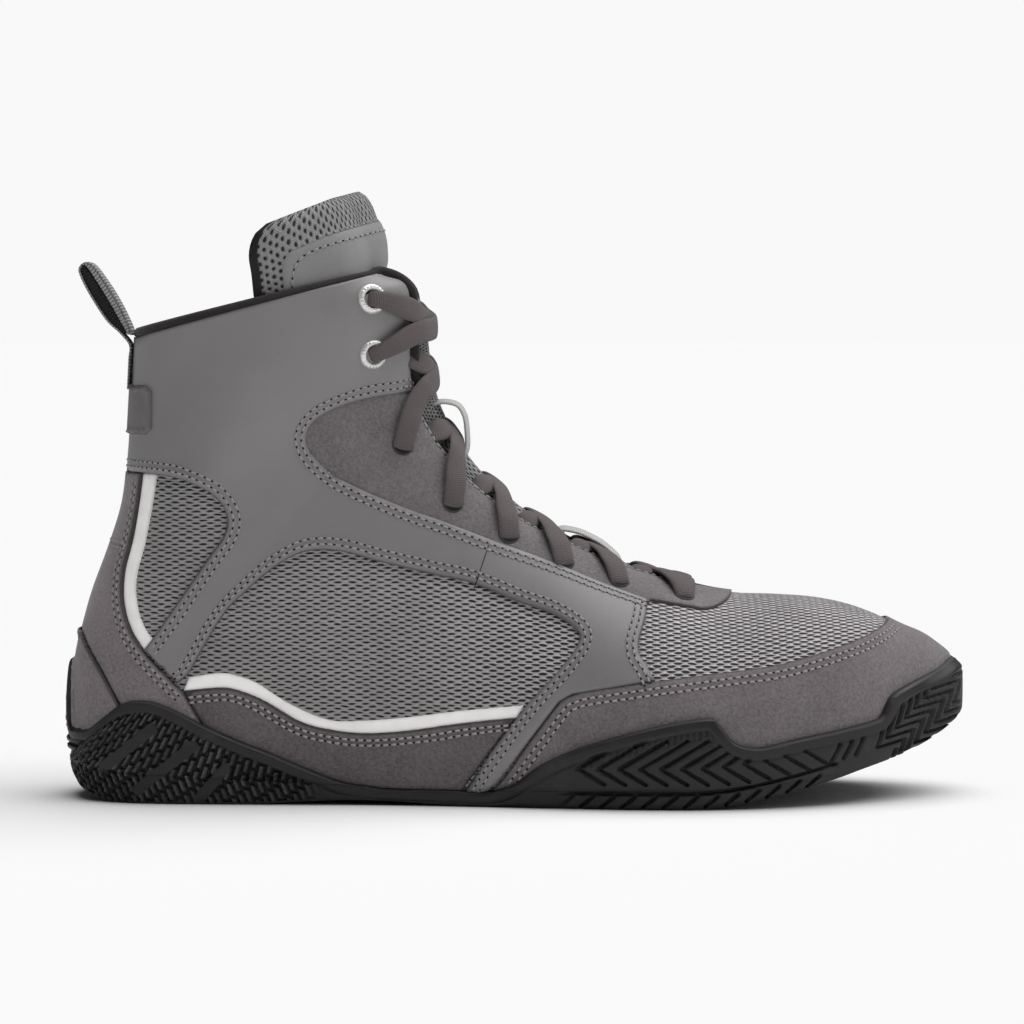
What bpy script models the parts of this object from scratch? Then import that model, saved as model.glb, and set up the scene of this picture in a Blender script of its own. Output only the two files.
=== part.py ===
"""Boxing shoe for the right foot, standing empty on its sole.

Metres, +Z up. The toe points to +X and the outer side of the foot to -Y.
The origin is on the floor, under the middle of the shoe.
"""

import math

import bmesh
import bpy
import numpy as np
from mathutils import Vector

MM = 0.001

# Driving sizes, in millimetres
WALL = 2.0             # upper wall: cloth, foam and lining
GAP = 0.3              # clearance between pieces that meet
PANEL = 1.0            # sewn-on leather and suede
SOLE_BASE = 2.7        # sole side, from the upper to the bottom of its grooves
SOLE_LUG = 3.5         # sole side, from the upper to the top of its lugs
RIM = 3.4              # height of the smooth rim along the sole's top edge
INSOLE = 4.0
TONGUE = 3.6
TONGUE_SINK = 1.6      # from the upper's inner face to the tongue's wings
LACE_WIDE = 6.8
LACE_THICK = 1.5
LACE_CLEAR = 1.2       # from the panels and the tongue to the lace
LACE_LAY = 0.2         # how far one strand lies over the next
LACE_END = 1.6         # from a hole's middle to the end of the strands over it
EYELET_OUT = 4.7       # radii of the eyelet rings
EYELET_HOLE = 2.9
EYELET_HIGH = 0.9
FOLLOW = GAP + PANEL   # outer face of the panels, above the upper
MIDDLE = 0.95          # sideways place of the heel's middle, with the whole shoe centred on the origin

# Cross sections of the last, toe to collar, in millimetres. Each lies in a plane across the shoe,
# from its top point (tx, tz) on the throat to its bottom point (bx, bz) on the sole or back seam.
# cb and ct: centre line at the bottom and the top. foot: half width where the section meets the
# sole. wide: greatest half width, at cm of the way up. gap: half width of the throat.
# vm: share of the columns below cm. p and q: fullness below and above cm.
COLUMNS = "tx tz bx bz cb ct foot wide gap cm vm p q".split()
SECTIONS = np.array([
    # Toe cap and vamp
    (142.6, 44.0, 142.6, 29.0, 10.0, 10.0, 0.0, 0.0, 0.0, 0.40, 0.36, 2.0, 2.2),
    (141.6, 46.0, 141.6, 26.8, 9.9, 9.9, 4.5, 7.4, 0.0, 0.40, 0.36, 2.0, 2.2),
    (138.6, 48.8, 138.6, 24.0, 9.6, 9.6, 10.2, 13.2, 0.0, 0.39, 0.35, 2.0, 2.2),
    (133.6, 52.2, 133.6, 20.6, 9.0, 9.0, 16.5, 19.5, 0.0, 0.38, 0.34, 2.0, 2.2),
    (126.6, 55.4, 126.6, 17.4, 7.8, 8.2, 22.8, 25.9, 0.0, 0.36, 0.33, 2.0, 2.2),
    (118.0, 58.8, 118.0, 14.6, 6.2, 7.0, 28.8, 32.0, 0.0, 0.34, 0.32, 2.0, 2.2),
    (108.5, 61.8, 108.5, 12.2, 4.4, 5.6, 33.8, 37.2, 0.0, 0.32, 0.31, 2.0, 2.2),
    (97.5, 64.0, 97.5, 10.0, 2.6, 4.4, 38.0, 41.4, 0.0, 0.30, 0.30, 2.0, 2.15),
    (84.5, 65.0, 85.5, 8.4, 0.9, 3.2, 41.3, 44.7, 0.0, 0.29, 0.30, 2.0, 2.1),
    (73.5, 65.4, 75.5, 7.3, -0.4, 2.4, 42.9, 46.3, 0.0, 0.28, 0.30, 2.0, 2.05),
    (64.5, 66.6, 67.0, 6.7, -1.2, 2.0, 43.5, 46.9, 0.0, 0.28, 0.30, 2.0, 2.0),
    # Throat
    (55.5, 68.4, 58.5, 6.3, -2.0, 1.8, 43.6, 47.0, 5.5, 0.27, 0.30, 2.0, 1.95),
    (44.0, 71.4, 48.0, 6.2, -2.6, 1.8, 43.0, 46.5, 8.6, 0.26, 0.30, 2.0, 1.9),
    (30.0, 76.2, 35.0, 6.0, -3.2, 1.8, 41.3, 44.9, 10.5, 0.25, 0.30, 2.0, 1.85),
    (16.0, 82.4, 20.0, 5.6, -3.7, 1.8, 38.2, 41.8, 11.5, 0.24, 0.30, 2.0, 1.8),
    (4.0, 88.3, -1.0, 5.2, -4.0, 1.6, 34.2, 38.0, 12.0, 0.23, 0.30, 2.0, 1.75),
    (-6.5, 95.5, -29.0, 5.2, -3.8, 1.3, 29.8, 34.4, 12.3, 0.23, 0.30, 2.0, 1.75),
    (-16.0, 103.5, -62.0, 6.8, -2.4, 0.9, 28.2, 32.7, 12.5, 0.24, 0.31, 2.0, 1.8),
    (-24.0, 113.0, -96.0, 8.4, -0.9, 0.5, 28.8, 32.4, 12.8, 0.25, 0.32, 2.0, 1.85),
    (-28.8, 120.5, -117.0, 9.4, -0.3, 0.3, 27.4, 32.2, 13.0, 0.27, 0.34, 2.0, 1.9),
    (-31.6, 126.0, -130.5, 10.2, 0.0, 0.2, 21.8, 32.0, 13.0, 0.29, 0.36, 2.0, 1.9),
    (-33.2, 130.0, -138.4, 11.2, 0.0, 0.1, 13.2, 31.8, 13.0, 0.30, 0.38, 2.0, 1.95),
    (-34.0, 133.0, -142.0, 13.5, 0.0, 0.0, 0.0, 31.6, 13.0, 0.31, 0.40, 2.0, 1.95),
    # Back seam and shaft
    (-34.5, 136.5, -142.9, 28.0, 0.0, 0.0, 0.0, 31.4, 13.0, 0.32, 0.41, 2.0, 2.0),
    (-34.7, 140.5, -141.3, 45.5, 0.0, 0.0, 0.0, 31.2, 13.0, 0.33, 0.42, 2.0, 2.0),
    (-34.8, 145.0, -136.8, 64.0, 0.0, 0.0, 0.0, 31.2, 13.0, 0.35, 0.43, 2.0, 2.0),
    (-34.8, 149.5, -130.8, 80.5, 0.0, 0.0, 0.0, 31.7, 13.0, 0.37, 0.44, 2.0, 2.0),
    (-34.9, 154.0, -126.2, 95.5, 0.0, 0.0, 0.0, 32.4, 13.3, 0.40, 0.45, 2.0, 2.0),
    (-35.4, 159.0, -124.4, 112.0, 0.0, 0.0, 0.0, 33.0, 13.6, 0.43, 0.46, 2.0, 2.0),
    (-38.0, 164.5, -123.2, 131.0, 0.0, 0.0, 0.0, 33.6, 14.0, 0.46, 0.47, 2.0, 2.0),
    (-44.5, 169.0, -122.3, 149.5, 0.0, 0.0, 0.0, 34.2, 15.0, 0.48, 0.48, 2.0, 2.0),
    # Above the collar, for the tongue alone
    (-47.5, 180.0, -122.0, 160.0, 0.0, 0.0, 0.0, 34.2, 15.0, 0.48, 0.48, 2.0, 2.0),
    (-51.5, 192.5, -122.0, 174.0, 0.0, 0.0, 0.0, 33.6, 15.0, 0.48, 0.48, 2.0, 2.0),
])
THROAT_ROW = 10        # the throat opens behind this section
SEAM_ROW = 22          # the feather edge ends and the back seam starts
COLLAR_ROW = 30
TOP_ROW = len(SECTIONS) - 1
FACET_ROWS = np.array([0, 1, 2, 3, 4.3, 6, 8, 10, 11.3, 13, 14.5, 16, 17, 18, 19, 20, 21, 22, 23.4, 25,
                       26.5, 28, 29, 30])
FACET_COLUMNS = np.linspace(0, 1, 8)
SOLE_COLUMNS = np.array([0, 0.16, 0.34, 0.6, 1])
SOLE_ROWS = FACET_ROWS[FACET_ROWS < 27]

# Side view of the panels, in millimetres: x, z
SOLE_TOP = [(-141.6, 44.2), (-141.4, 25.2), (-138.5, 23.4), (-135, 23.6), (-129, 28.6),
            (-125, 31.8), (-120, 33.3), (-115, 33.2), (-107.5, 30.4), (-98, 25.4), (-87, 20.6),
            (-77.5, 17), (-62, 10.4), (-54, 7.4), (-43.5, 5.8), (-31, 5.3), (-18, 5.2),
            (-9, 5.0), (-1, 7.4), (7, 13.2), (15, 17.4), (26.5, 21.6), (40, 25.4), (52, 27.9),
            (62, 28.9), (64.5, 26.6), (69, 21.6), (74.5, 20), (79, 20.2), (88.5, 22.2),
            (103, 24.7), (113, 26.7), (116, 28.1), (118.5, 32.6), (120.5, 34.8), (126, 37.3),
            (136.5, 41.2), (141.5, 43.8), (150, 46)]
REAR_WINDOW = [(-150, 105.5), (-126, 105.4), (-111.7, 104.6), (-104, 102.8), (-97, 99.4),
               (-93, 95.3), (-91.4, 90.3), (-93, 84.9), (-97, 79.4), (-106, 66.4), (-115, 53.3)]
MAIN_WINDOW = [(-103.7, 41.7), (-93, 60), (-85, 68.4), (-77.6, 74.8), (-69.7, 79.5), (-62.4, 81.1),
               (-53.5, 80.2), (-43.6, 77.4), (-25.8, 73.1), (-13.7, 70.4), (1, 64.6), (10.2, 61.6),
               (16.2, 58.6), (19.9, 55.5), (20.5, 52.8), (18, 48.4), (13, 42.4), (3.6, 32.4)]
LEG_REAR = [(3.6, 32.4), (-7, 18.5), (-15.4, 5.8)]
LEG_FRONT = (-7.7, 5.8)
PATCH_EDGE = [(-20, 131.2), (-33.6, 130.9), (-48, 128.9), (-57.7, 125.8), (-64, 121.8),
              (-66.3, 116.8), (-63.7, 110.9), (-55, 103.6), (-36.4, 95), (-23.4, 90.2), (-7.8, 84),
              (12.2, 76.5), (28.4, 69.8), (42.6, 64.6)]
EYESTAY_FRONT = [(42.6, 64.6), (55.6, 62.3), (61, 61.4), (66.4, 62.6), (71, 66), (71.4, 72)]
CAGE_FRONT = [(42.6, 64.6), (41.5, 58.8), (39.5, 52.5), (39.7, 48.3), (41.9, 44.9), (44.5, 40.4)]
GUARD_TOP = [(-12, 2), (-4.6, 8.4), (5, 21.5), (14.3, 33.6), (18.5, 36), (23.7, 37.5), (44.5, 40.4),
             (65, 42.7), (83.5, 45), (103, 49.8), (116.6, 54.3), (122, 57.4), (126, 64)]
BAND_TOP = [(-105.6, 36.3), (-95.4, 37.3), (-89.7, 37), (-80.8, 33.8), (-68.4, 26.8), (-59.4, 24.3),
            (-48.3, 23.1), (-34.9, 23.9), (-16.9, 26.5), (1, 28.6)]
COUNTER_FRONT = [(-118.9, 104.8), (-120.3, 94), (-122, 83.7), (-124.5, 73.4), (-124.6, 64.2),
                 (-122.2, 55.8), (-117.6, 48.6), (-108.9, 39.4), (-105.6, 36.3), (-98, 22)]
PATCH_WEDGE = [(-150, 60), (-141.5, 56), (-137.8, 52), (-131.5, 42.5), (-125.6, 31.6)]
BADGE = [(-150, 117.5), (-117, 117.5), (-115, 119.5), (-115, 131.5), (-117, 133.5), (-150, 133.5)]

# Lace holes on the outer side, top to bottom: x, z. The first two hold the eyelets.
LACE_HOLES = [(-45.8, 161.0), (-45.6, 143.6), (-36, 114.3), (-20, 95.7), (-2, 85.2), (15.6, 76.5),
              (33.2, 70.4), (54.2, 65.6)]
EYELETS = 2
# Sections between which each keeper is sewn to the tongue
KEEPERS = {"lace_keeper_upper": (17.0, 19.4), "lace_keeper_lower": (12.6, 14.25)}


def spline(rows, at):
    """Smooth curve through the rows, read at places counted in rows."""
    rows = np.asarray(rows, float)
    at = np.clip(np.asarray(at, float), 0, len(rows) - 1)
    slope = np.gradient(rows, axis=0)
    low = np.minimum(at.astype(int), len(rows) - 2)
    t = (at - low)[..., None]
    h = rows[low + 1] - rows[low]
    bend = 3 * h - 2 * slope[low] - slope[low + 1]
    twist = slope[low] + slope[low + 1] - 2 * h
    return rows[low] + t * (slope[low] + t * (bend + t * twist))


def last(u, v, side):
    """Points of the upper's outer face: section u, column v (0 sole, 1 throat), side -1 or 1."""
    u, v = np.broadcast_arrays(np.asarray(u, float), np.asarray(v, float))
    k = dict(zip(COLUMNS, np.moveaxis(spline(SECTIONS, u), -1, 0)))
    low = v < k["vm"]
    turn = np.where(low, 1 - v / k["vm"], (v - k["vm"]) / (1 - k["vm"])) * math.pi / 2
    power = 2 / np.where(low, k["p"], k["q"])
    rise = np.clip(np.sin(turn), 0, 1) ** power
    full = np.clip(np.cos(turn), 0, 1) ** power
    c = np.where(low, k["cm"] * (1 - rise), k["cm"] + (1 - k["cm"]) * rise)
    end = np.where(low, k["foot"], k["gap"])
    half = np.maximum(end + (k["wide"] - end) * full, 0)
    y = MIDDLE + k["cb"] + (k["ct"] - k["cb"]) * c * c * (3 - 2 * c) + side * half
    return np.stack([k["bx"] + (k["tx"] - k["bx"]) * c, y, k["bz"] + (k["tz"] - k["bz"]) * c], -1)


def skin(u, v, side, out=0.0):
    """The last's surface moved out along its normal."""
    u, v = np.broadcast_arrays(np.asarray(u, float), np.asarray(v, float))
    step = 0.02
    along = last(np.minimum(u + step, TOP_ROW), v, side) - last(np.maximum(u - step, 0), v, side)
    across = last(u, np.minimum(v + step, 1), side) - last(u, np.maximum(v - step, 0), side)
    normal = np.cross(along, across) * side
    toe = u < 1e-6
    back = (v < 1e-6) & (u >= SEAM_ROW)
    seam = toe | back | ((v > 1 - 1e-6) & (u <= THROAT_ROW))
    line = np.where(toe[..., None], across, along) * np.where(back, -1, 1)[..., None]
    upright = np.stack([line[..., 2], 0 * u, -line[..., 0]], -1)
    normal = np.where(seam[..., None], upright, normal)
    normal /= np.linalg.norm(normal, axis=-1, keepdims=True)
    return last(u, v, side) + normal * out


def on_skin(x, z):
    """Section and column of the point of the outer side that shows at x, z from the side."""
    u, v = np.meshgrid(np.linspace(THROAT_ROW, COLLAR_ROW, 401), np.linspace(0.3, 1, 281), indexing="ij")
    seen = last(u, v, -1)
    best = np.argmin((seen[..., 0] - x) ** 2 + (seen[..., 2] - z) ** 2)
    return u.flat[best], v.flat[best]


def tread(x):
    """Height of the sole's underside: heel curve, arch, flat forefoot and toe spring."""
    x = np.asarray(x, float)
    heel = 14 * (1 - np.sqrt(1 - np.clip((-126 - x) / 20.5, 0, 1) ** 2))
    arch = 1.6 * np.sin(np.clip((x + 92) / 84, 0, 1) * math.pi) ** 2
    toe = 24 * np.clip((x - 42) / 101.5, 0, 2) ** 2.6
    return heel + arch + toe


def material(name, colour, roughness, metallic=0.0):
    found = bpy.data.materials.get(name)
    if found:
        return found
    made = bpy.data.materials.new(name)
    made.use_nodes = True
    shader = made.node_tree.nodes["Principled BSDF"]
    shader.inputs["Base Color"].default_value = (*colour, 1)
    shader.inputs["Roughness"].default_value = roughness
    shader.inputs["Metallic"].default_value = metallic
    return made


FINISH = {
    "rubber": ((0.018, 0.018, 0.019), 0.62),
    "mesh": ((0.26, 0.26, 0.26), 0.85),
    "leather": ((0.2, 0.2, 0.2), 0.5),
    "suede": ((0.1, 0.095, 0.096), 0.95),
    "lining": ((0.012, 0.012, 0.013), 0.9),
    "webbing": ((0.1, 0.1, 0.1), 0.9),
    "lace": ((0.11, 0.1, 0.1), 0.9),
    "badge": ((0.16, 0.16, 0.16), 0.55),
    "foam": ((0.03, 0.03, 0.03), 0.95),
    "metal": ((0.8, 0.8, 0.8), 0.3, 1.0),
}


def place(name, bm, group, finish=None):
    """A mesh in millimetres becomes an object in metres, in the parts or among the cutters."""
    bmesh.ops.remove_doubles(bm, verts=bm.verts, dist=1e-4)
    bmesh.ops.dissolve_degenerate(bm, edges=bm.edges, dist=1e-4)
    bmesh.ops.recalc_face_normals(bm, faces=bm.faces)
    bmesh.ops.scale(bm, vec=Vector((MM, MM, MM)), verts=bm.verts)
    mesh = bpy.data.meshes.new(name)
    bm.to_mesh(mesh)
    bm.free()
    mesh.shade_smooth()
    mesh.set_sharp_from_angle(angle=math.radians(35))
    obj = bpy.data.objects.new(name, mesh)
    group.objects.link(obj)
    if finish:
        mesh.materials.append(material(finish, *FINISH[finish]))
    else:
        obj.hide_render = True
        obj.display_type = "WIRE"
    return obj


def join(bm, loops, closed=False, caps=False):
    """Facets between loops of equal length, each square split along the same diagonal."""
    rings = [[bm.verts.new(point) for point in loop] for loop in loops]
    count = len(rings[0])
    for a, b in zip(rings, rings[1:]):
        for k in range(count if closed else count - 1):
            n = (k + 1) % count
            bm.faces.new((a[k], a[n], b[k]))
            bm.faces.new((a[n], b[n], b[k]))
    if caps:
        bm.faces.new(rings[0])
        bm.faces.new(rings[-1])
    return rings


def split_wide_faces(bm):
    bm.normal_update()
    bmesh.ops.triangulate(bm, faces=[face for face in bm.faces if len(face.verts) > 4])


def shell(low, high):
    """Wall between two offsets of the last, on both sides, open at sole, throat and collar."""
    bm = bmesh.new()
    u, v = np.meshgrid(FACET_ROWS, FACET_COLUMNS, indexing="ij")
    for out in (high, low):
        for side in (-1, 1):
            join(bm, skin(u, v, side, out))
    sheets = len(bm.verts) // 2
    bm.verts.ensure_lookup_table()
    place_of = {}
    keep = []
    for n in range(sheets):
        key = tuple(round(value, 3) for value in bm.verts[n].co)
        keep.append(place_of.setdefault(key, n))
    weld = {}
    for n, k in enumerate(keep):
        if n != k:
            weld[bm.verts[n]] = bm.verts[k]
            weld[bm.verts[n + sheets]] = bm.verts[k + sheets]
    pair = {bm.verts[n]: bm.verts[n + sheets] for n in range(sheets)}
    bmesh.ops.weld_verts(bm, targetmap=weld)
    pair = {a: b for a, b in pair.items() if a.is_valid and b.is_valid}
    for edge in [edge for edge in bm.edges if edge.is_boundary and edge.verts[0] in pair]:
        a, b = edge.verts
        bm.faces.new((a, b, pair[b]))
        bm.faces.new((a, pair[b], pair[a]))
    return bm


def filled(loops):
    """A solid through closed loops, shut at both ends."""
    bm = bmesh.new()
    join(bm, loops, closed=True)
    bmesh.ops.remove_doubles(bm, verts=bm.verts, dist=1e-4)
    bmesh.ops.holes_fill(bm, edges=bm.edges)
    split_wide_faces(bm)
    return bm


def wall_loop(u, columns, out):
    """Both halves of a section, grown by out: outer side upwards, then inner side downwards."""
    halves = [skin(np.full(len(columns), u), columns, side, out) for side in (-1, 1)]
    return halves[0], halves[1][::-1]


def sole_form(out, foot_out, lift):
    """The last grown by out, standing on the tread: the outer shape of the sole and all above it."""
    loops = []
    for u in SOLE_ROWS:
        near, far = wall_loop(u, SOLE_COLUMNS, out)
        middle = (near[0] + far[-1]) / 2
        if u < SEAM_ROW:
            for wall, k, side in ((near, 0, -1), (far, -1, 1)):
                foot = last(u, 0, side)[:2]
                way = (last(u + 0.1, 0, side) - last(max(u - 0.1, 0), 0, side))[:2]
                away = np.array([way[1], -way[0]]) * -side / math.hypot(*way)
                foot = foot + foot_out * (away if u else np.array([1.0, 0.0]))
                wall[k] = (*foot, tread(foot[0]) + lift)
            middle = (near[0] + far[-1]) / 2
            middle[2] = tread(middle[0]) + lift
        loops.append([middle, *near, *far])
    return filled(loops)


def sole_hollow():
    """What the upper fills of the sole, with a floor under its feather edge."""
    loops = []
    for u in SOLE_ROWS:
        near, far = wall_loop(u, FACET_COLUMNS, 1.5 * GAP)
        if u < SEAM_ROW:
            near[0][2] -= GAP
            far[-1][2] -= GAP
        loops.append([*near, *far])
    return filled(loops)


def inset(outline, by):
    """A closed outline drawn in by a small distance."""
    points = np.asarray(outline, float)
    ahead = np.roll(points, -1, 0) - points
    apart = np.linalg.norm(ahead, axis=1) > 0.01
    points = points[apart]
    ahead = np.roll(points, -1, 0) - points
    turning = np.sum(points[:, 0] * np.roll(points[:, 1], -1) - points[:, 1] * np.roll(points[:, 0], -1))
    inward = np.stack([-ahead[:, 1], ahead[:, 0]], 1) * math.copysign(1, turning)
    inward /= np.linalg.norm(inward, axis=1, keepdims=True)
    back = np.roll(inward, 1, 0)
    share = 1 + np.sum(inward * back, axis=1, keepdims=True)
    return points + by * (inward + back) / np.maximum(share, 0.5)


def drop(line, by):
    """A line moved square to itself, to its right."""
    points = np.asarray(line, float)
    way = np.gradient(points, axis=0)
    way /= np.linalg.norm(way, axis=1, keepdims=True)
    return (points + by * np.stack([way[:, 1], -way[:, 0]], 1)).tolist()


def prisms(outlines, near=-90, far=90):
    """Side-view outlines drawn out across the shoe."""
    bm = bmesh.new()
    for outline in outlines:
        ends = [[(x, y, z) for x, z in outline] for y in (near, far)]
        join(bm, ends, closed=True, caps=True)
    split_wide_faces(bm)
    return bm


def cut(obj, tool, operation="DIFFERENCE"):
    modifier = obj.modifiers.new(tool.name, "BOOLEAN")
    modifier.operation = operation
    modifier.object = tool


def merge_flat(obj, degrees=0.3):
    """Facets that a cut has split are joined again where they lie flat."""
    modifier = obj.modifiers.new("flat", "DECIMATE")
    modifier.decimate_type = "DISSOLVE"
    modifier.angle_limit = math.radians(degrees)


def panel(name, outline, finish, low=GAP, high=FOLLOW, near=-90, far=90):
    """A sewn-on piece: the wall just above the upper, cut out by its side view."""
    piece = place(name, shell(low, high), parts, finish)
    tool = place(name + "_outline", prisms([inset(outline, GAP / 2)], near, far), cutters)
    cut(piece, tool, "INTERSECT")
    merge_flat(piece)
    return piece


def band(points, ups, wide, thick):
    """A flat strip along points, its face turned to ups."""
    points = np.asarray(points, float)
    way = np.gradient(points, axis=0)
    way /= np.linalg.norm(way, axis=1, keepdims=True)
    across = np.cross(way, np.asarray(ups, float))
    across /= np.linalg.norm(across, axis=1, keepdims=True)
    up = np.cross(across, way)
    corners = [(-1, -1), (1, -1), (1, 1), (-1, 1)]
    loops = [[p + a * wide / 2 * i + n * thick / 2 * j for i, j in corners]
             for p, a, n in zip(points, across, up)]
    bm = bmesh.new()
    join(bm, loops, closed=True, caps=True)
    return bm


def upper():
    return place("upper", shell(-WALL, 0), parts, "mesh")


def outsole():
    """A cup of rubber: grooved side, raised rim and lugs, hollow where the upper sits."""
    top = np.array(SOLE_TOP)
    low = [(-160, -20), (160, -20)]
    under = [(x, z - 1) for x, z in SOLE_TOP]
    sole = place("outsole", sole_form(SOLE_BASE, SOLE_BASE - 0.6, 0), parts, "rubber")
    side = place("sole_side", prisms([[(-160, 43.2), *under, (160, 45), *low[::-1]]]), cutters)
    cut(sole, side, "INTERSECT")
    raised = place("sole_raised", sole_form(SOLE_LUG, SOLE_LUG - 0.6, 0.5), cutters)
    rim = [(-160, 44.2), *SOLE_TOP, *drop(SOLE_TOP, RIM)[:0:-1], (-160, 20)]
    lugs = place("sole_lugs", prisms([rim, *lug_outlines(top)]), cutters)
    cut(raised, lugs, "INTERSECT")
    cut(sole, raised, "UNION")
    cut(sole, place("sole_hollow", sole_hollow(), cutters))
    merge_flat(sole, 1)
    return sole


def lug_outlines(top):
    """Side view of the raised chevrons of the forefoot and toe and the bars of the heel."""
    def rim_foot(x):
        reach = np.linspace(x - 2, x + 6, 9)
        return np.interp(reach, top[:, 0], top[:, 1]).min() - RIM - 1.0

    outlines = []
    pitch, thick, lean = 6.7, 3.8, 6.0
    for n in range(13):
        apex = 27 + n * pitch
        high = rim_foot(apex + lean)
        base = float(tread(apex + lean)) + 1.0
        middle = base + 0.52 * (high - base)
        if high - base > 7:
            outlines.append([(apex, middle), (apex + lean, base), (apex + lean + thick, base),
                             (apex + thick, middle), (apex + lean + thick, high),
                             (apex + lean, high)])
    for n in range(5):
        apex = -131 + n * 8.4
        high = rim_foot(apex + 7)
        base = float(tread(apex)) + 1.0
        outlines.append([(apex, base), (apex + 4.6, base), (apex + 11.6, high), (apex + 7, high)])
    return outlines


def insole():
    """Footbed on the sole's floor, inside the feather edge."""
    clear = WALL + 2 * GAP
    loops = []
    for u in SOLE_ROWS[(SOLE_ROWS > 0) & (SOLE_ROWS < SEAM_ROW)]:
        near, far = last(u, 0, -1), last(u, 0, 1)
        shift = clear * (max(u - 18, 0) / 3 - max(4 - u, 0) / 4)
        low = [near + (shift, clear, GAP), far + (shift, -clear, GAP)]
        high = [point + (0, 0, INSOLE) for point in low]
        loops.append([low[0], high[0], high[1], low[1]])
    bm = bmesh.new()
    join(bm, loops, closed=True, caps=True)
    return place("insole", bm, parts, "foam")


def wing(u):
    """Column where the tongue's wing ends: narrow on the vamp, wide round the ankle."""
    return np.interp(u, [9, 12, 20, 26, 30, 31, TOP_ROW], [0.84, 0.8, 0.74, 0.64, 0.52, 0.52, 0.66])


def rise(u):
    """How far the tongue bulges through the throat, above the throat's edges."""
    return np.interp(u, [10, 10.8, 12, 15, 19, 22, 28, 30, TOP_ROW],
                     [-3.4, -2.6, 1.2, 4.4, 5.6, 6.4, 5.4, 5, 3.5])


def tongue_face(u, out):
    """One row across the tongue, wing to wing, at a height above its underside."""
    sink = -WALL - TONGUE_SINK - TONGUE + out
    columns = np.linspace(wing(u), 0.9, 3)
    half = [skin(np.full(3, u), columns, side, sink) for side in (-1, 1)]
    crown = ridge(u, rise(u) - TONGUE + out)
    row = []
    for share, ease in ((0.36, 0.0), (0.66, 0.6)):
        blend = np.array([ease, share, ease])
        row.append([edge[-1] + (crown - edge[-1]) * blend for edge in half])
    left = [pair[0] for pair in row]
    right = [pair[1] for pair in row[::-1]]
    return [*half[0], *left, crown, *right, *half[1][::-1]]


def ridge(u, out):
    """Point on the middle of the throat, out from the line of its edges."""
    ahead = np.minimum(u + 0.05, TOP_ROW)
    behind = np.maximum(u - 0.05, 0)
    way = (last(ahead, 1, 1) - last(behind, 1, 1)) * np.array([1, 0, 1])
    normal = np.array([way[2], 0, -way[0]]) / np.linalg.norm(way)
    middle = (last(u, 1, 1) + last(u, 1, -1)) / 2
    return middle + normal * out


def tongue():
    rows = [9.2, 10.2, 11, 12, 13.5, 15, 16.5, 18, 20, 22.5, 25, 27.5, 29.2, 30.2, 31, 31.6, TOP_ROW]
    bm = bmesh.new()
    loops = [[*tongue_face(u, TONGUE), *tongue_face(u, 0)[::-1]] for u in rows]
    rings = join(bm, loops, closed=True)
    count = len(loops[0]) // 2
    for ring in (rings[0], rings[-1]):
        for k in range(count - 1):
            bm.faces.new((ring[k], ring[k + 1], ring[-2 - k], ring[-1 - k]))
    return place("tongue", bm, parts, "leather")


def overlays():
    bottom = [(x, z + GAP) for x, z in SOLE_TOP]
    back, toe = (-160, 44.5), (160, 48)
    guard = [point for point in bottom if point[0] > -5]
    panel("toe_mudguard", [*guard, toe, (160, 70), *GUARD_TOP[:0:-1]], "suede")
    heel = [point for point in bottom if -124 < point[0] <= -98]
    panel("heel_counter", [*PATCH_WEDGE, *heel, *COUNTER_FRONT[:-1][::-1], (-150, 105.5)], "suede")
    wedge = [point for point in bottom if point[0] < -126]
    panel("heel_patch", [*PATCH_WEDGE[::-1], back, *wedge], "suede")
    arch = [point for point in bottom if -98 <= point[0] < -14]
    side = [*arch, *LEG_REAR[1::-1], *BAND_TOP[-2:0:-1], COUNTER_FRONT[-2]]
    panel("side_band_lateral", side, "suede", far=0)
    panel("side_band_medial", side, "suede", near=0)
    panel("eyestay", [*PATCH_EDGE, *EYESTAY_FRONT[1:], (60, 140), (-20, 140)], "suede")
    leg = [point for point in GUARD_TOP if -5 < point[0] < 44]
    panel("ankle_cage", [(-150, 190), *REAR_WINDOW, *MAIN_WINDOW, *LEG_REAR[1:], LEG_FRONT, *leg,
                         *CAGE_FRONT[::-1], *PATCH_EDGE[::-1], (-20, 190)], "leather")


def collar_binding():
    """Padded roll along the collar and down both edges of the throat."""
    radius, sides = 1.5, 5
    rise_rows = [20.3, 22, 24.5, 27, 28.4, 29.3]
    middle = -WALL / 2
    path, outward = [], []
    for side, order in ((-1, 1), (1, -1)):
        leg = []
        for u in rise_rows:
            edge = skin(u, 1, side, middle)
            leg.append((edge, edge - skin(u, 0.97, side, middle)))
        corner = skin(COLLAR_ROW, 1, side, middle)
        inner = skin(COLLAR_ROW - 0.3, 0.97, side, middle)
        leg.append((corner, corner - inner))
        for v in [0.93, 0.83, 0.72, 0.6, 0.48, 0.36, 0.24, 0.12] + [0.0] * (order > 0):
            edge = skin(COLLAR_ROW, v, side, middle)
            leg.append((edge, edge - skin(COLLAR_ROW - 0.2, v, side, middle)))
        path += leg[::order]
    centres = []
    for edge, away in path:
        away = away / np.linalg.norm(away)
        centres.append(edge + away * (GAP + radius))
        outward.append(away)
    centres = np.array(centres)
    way = np.gradient(centres, axis=0)
    loops = []
    for centre, tangent, away in zip(centres, way, outward):
        other = np.cross(tangent, away)
        other /= np.linalg.norm(other)
        turns = [2 * math.pi * k / sides for k in range(sides)]
        loops.append([centre + radius * (away * math.cos(t) + other * math.sin(t)) for t in turns])
    bm = bmesh.new()
    join(bm, loops, closed=True, caps=True)
    split_wide_faces(bm)
    return place("collar_binding", bm, parts, "lining")


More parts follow.
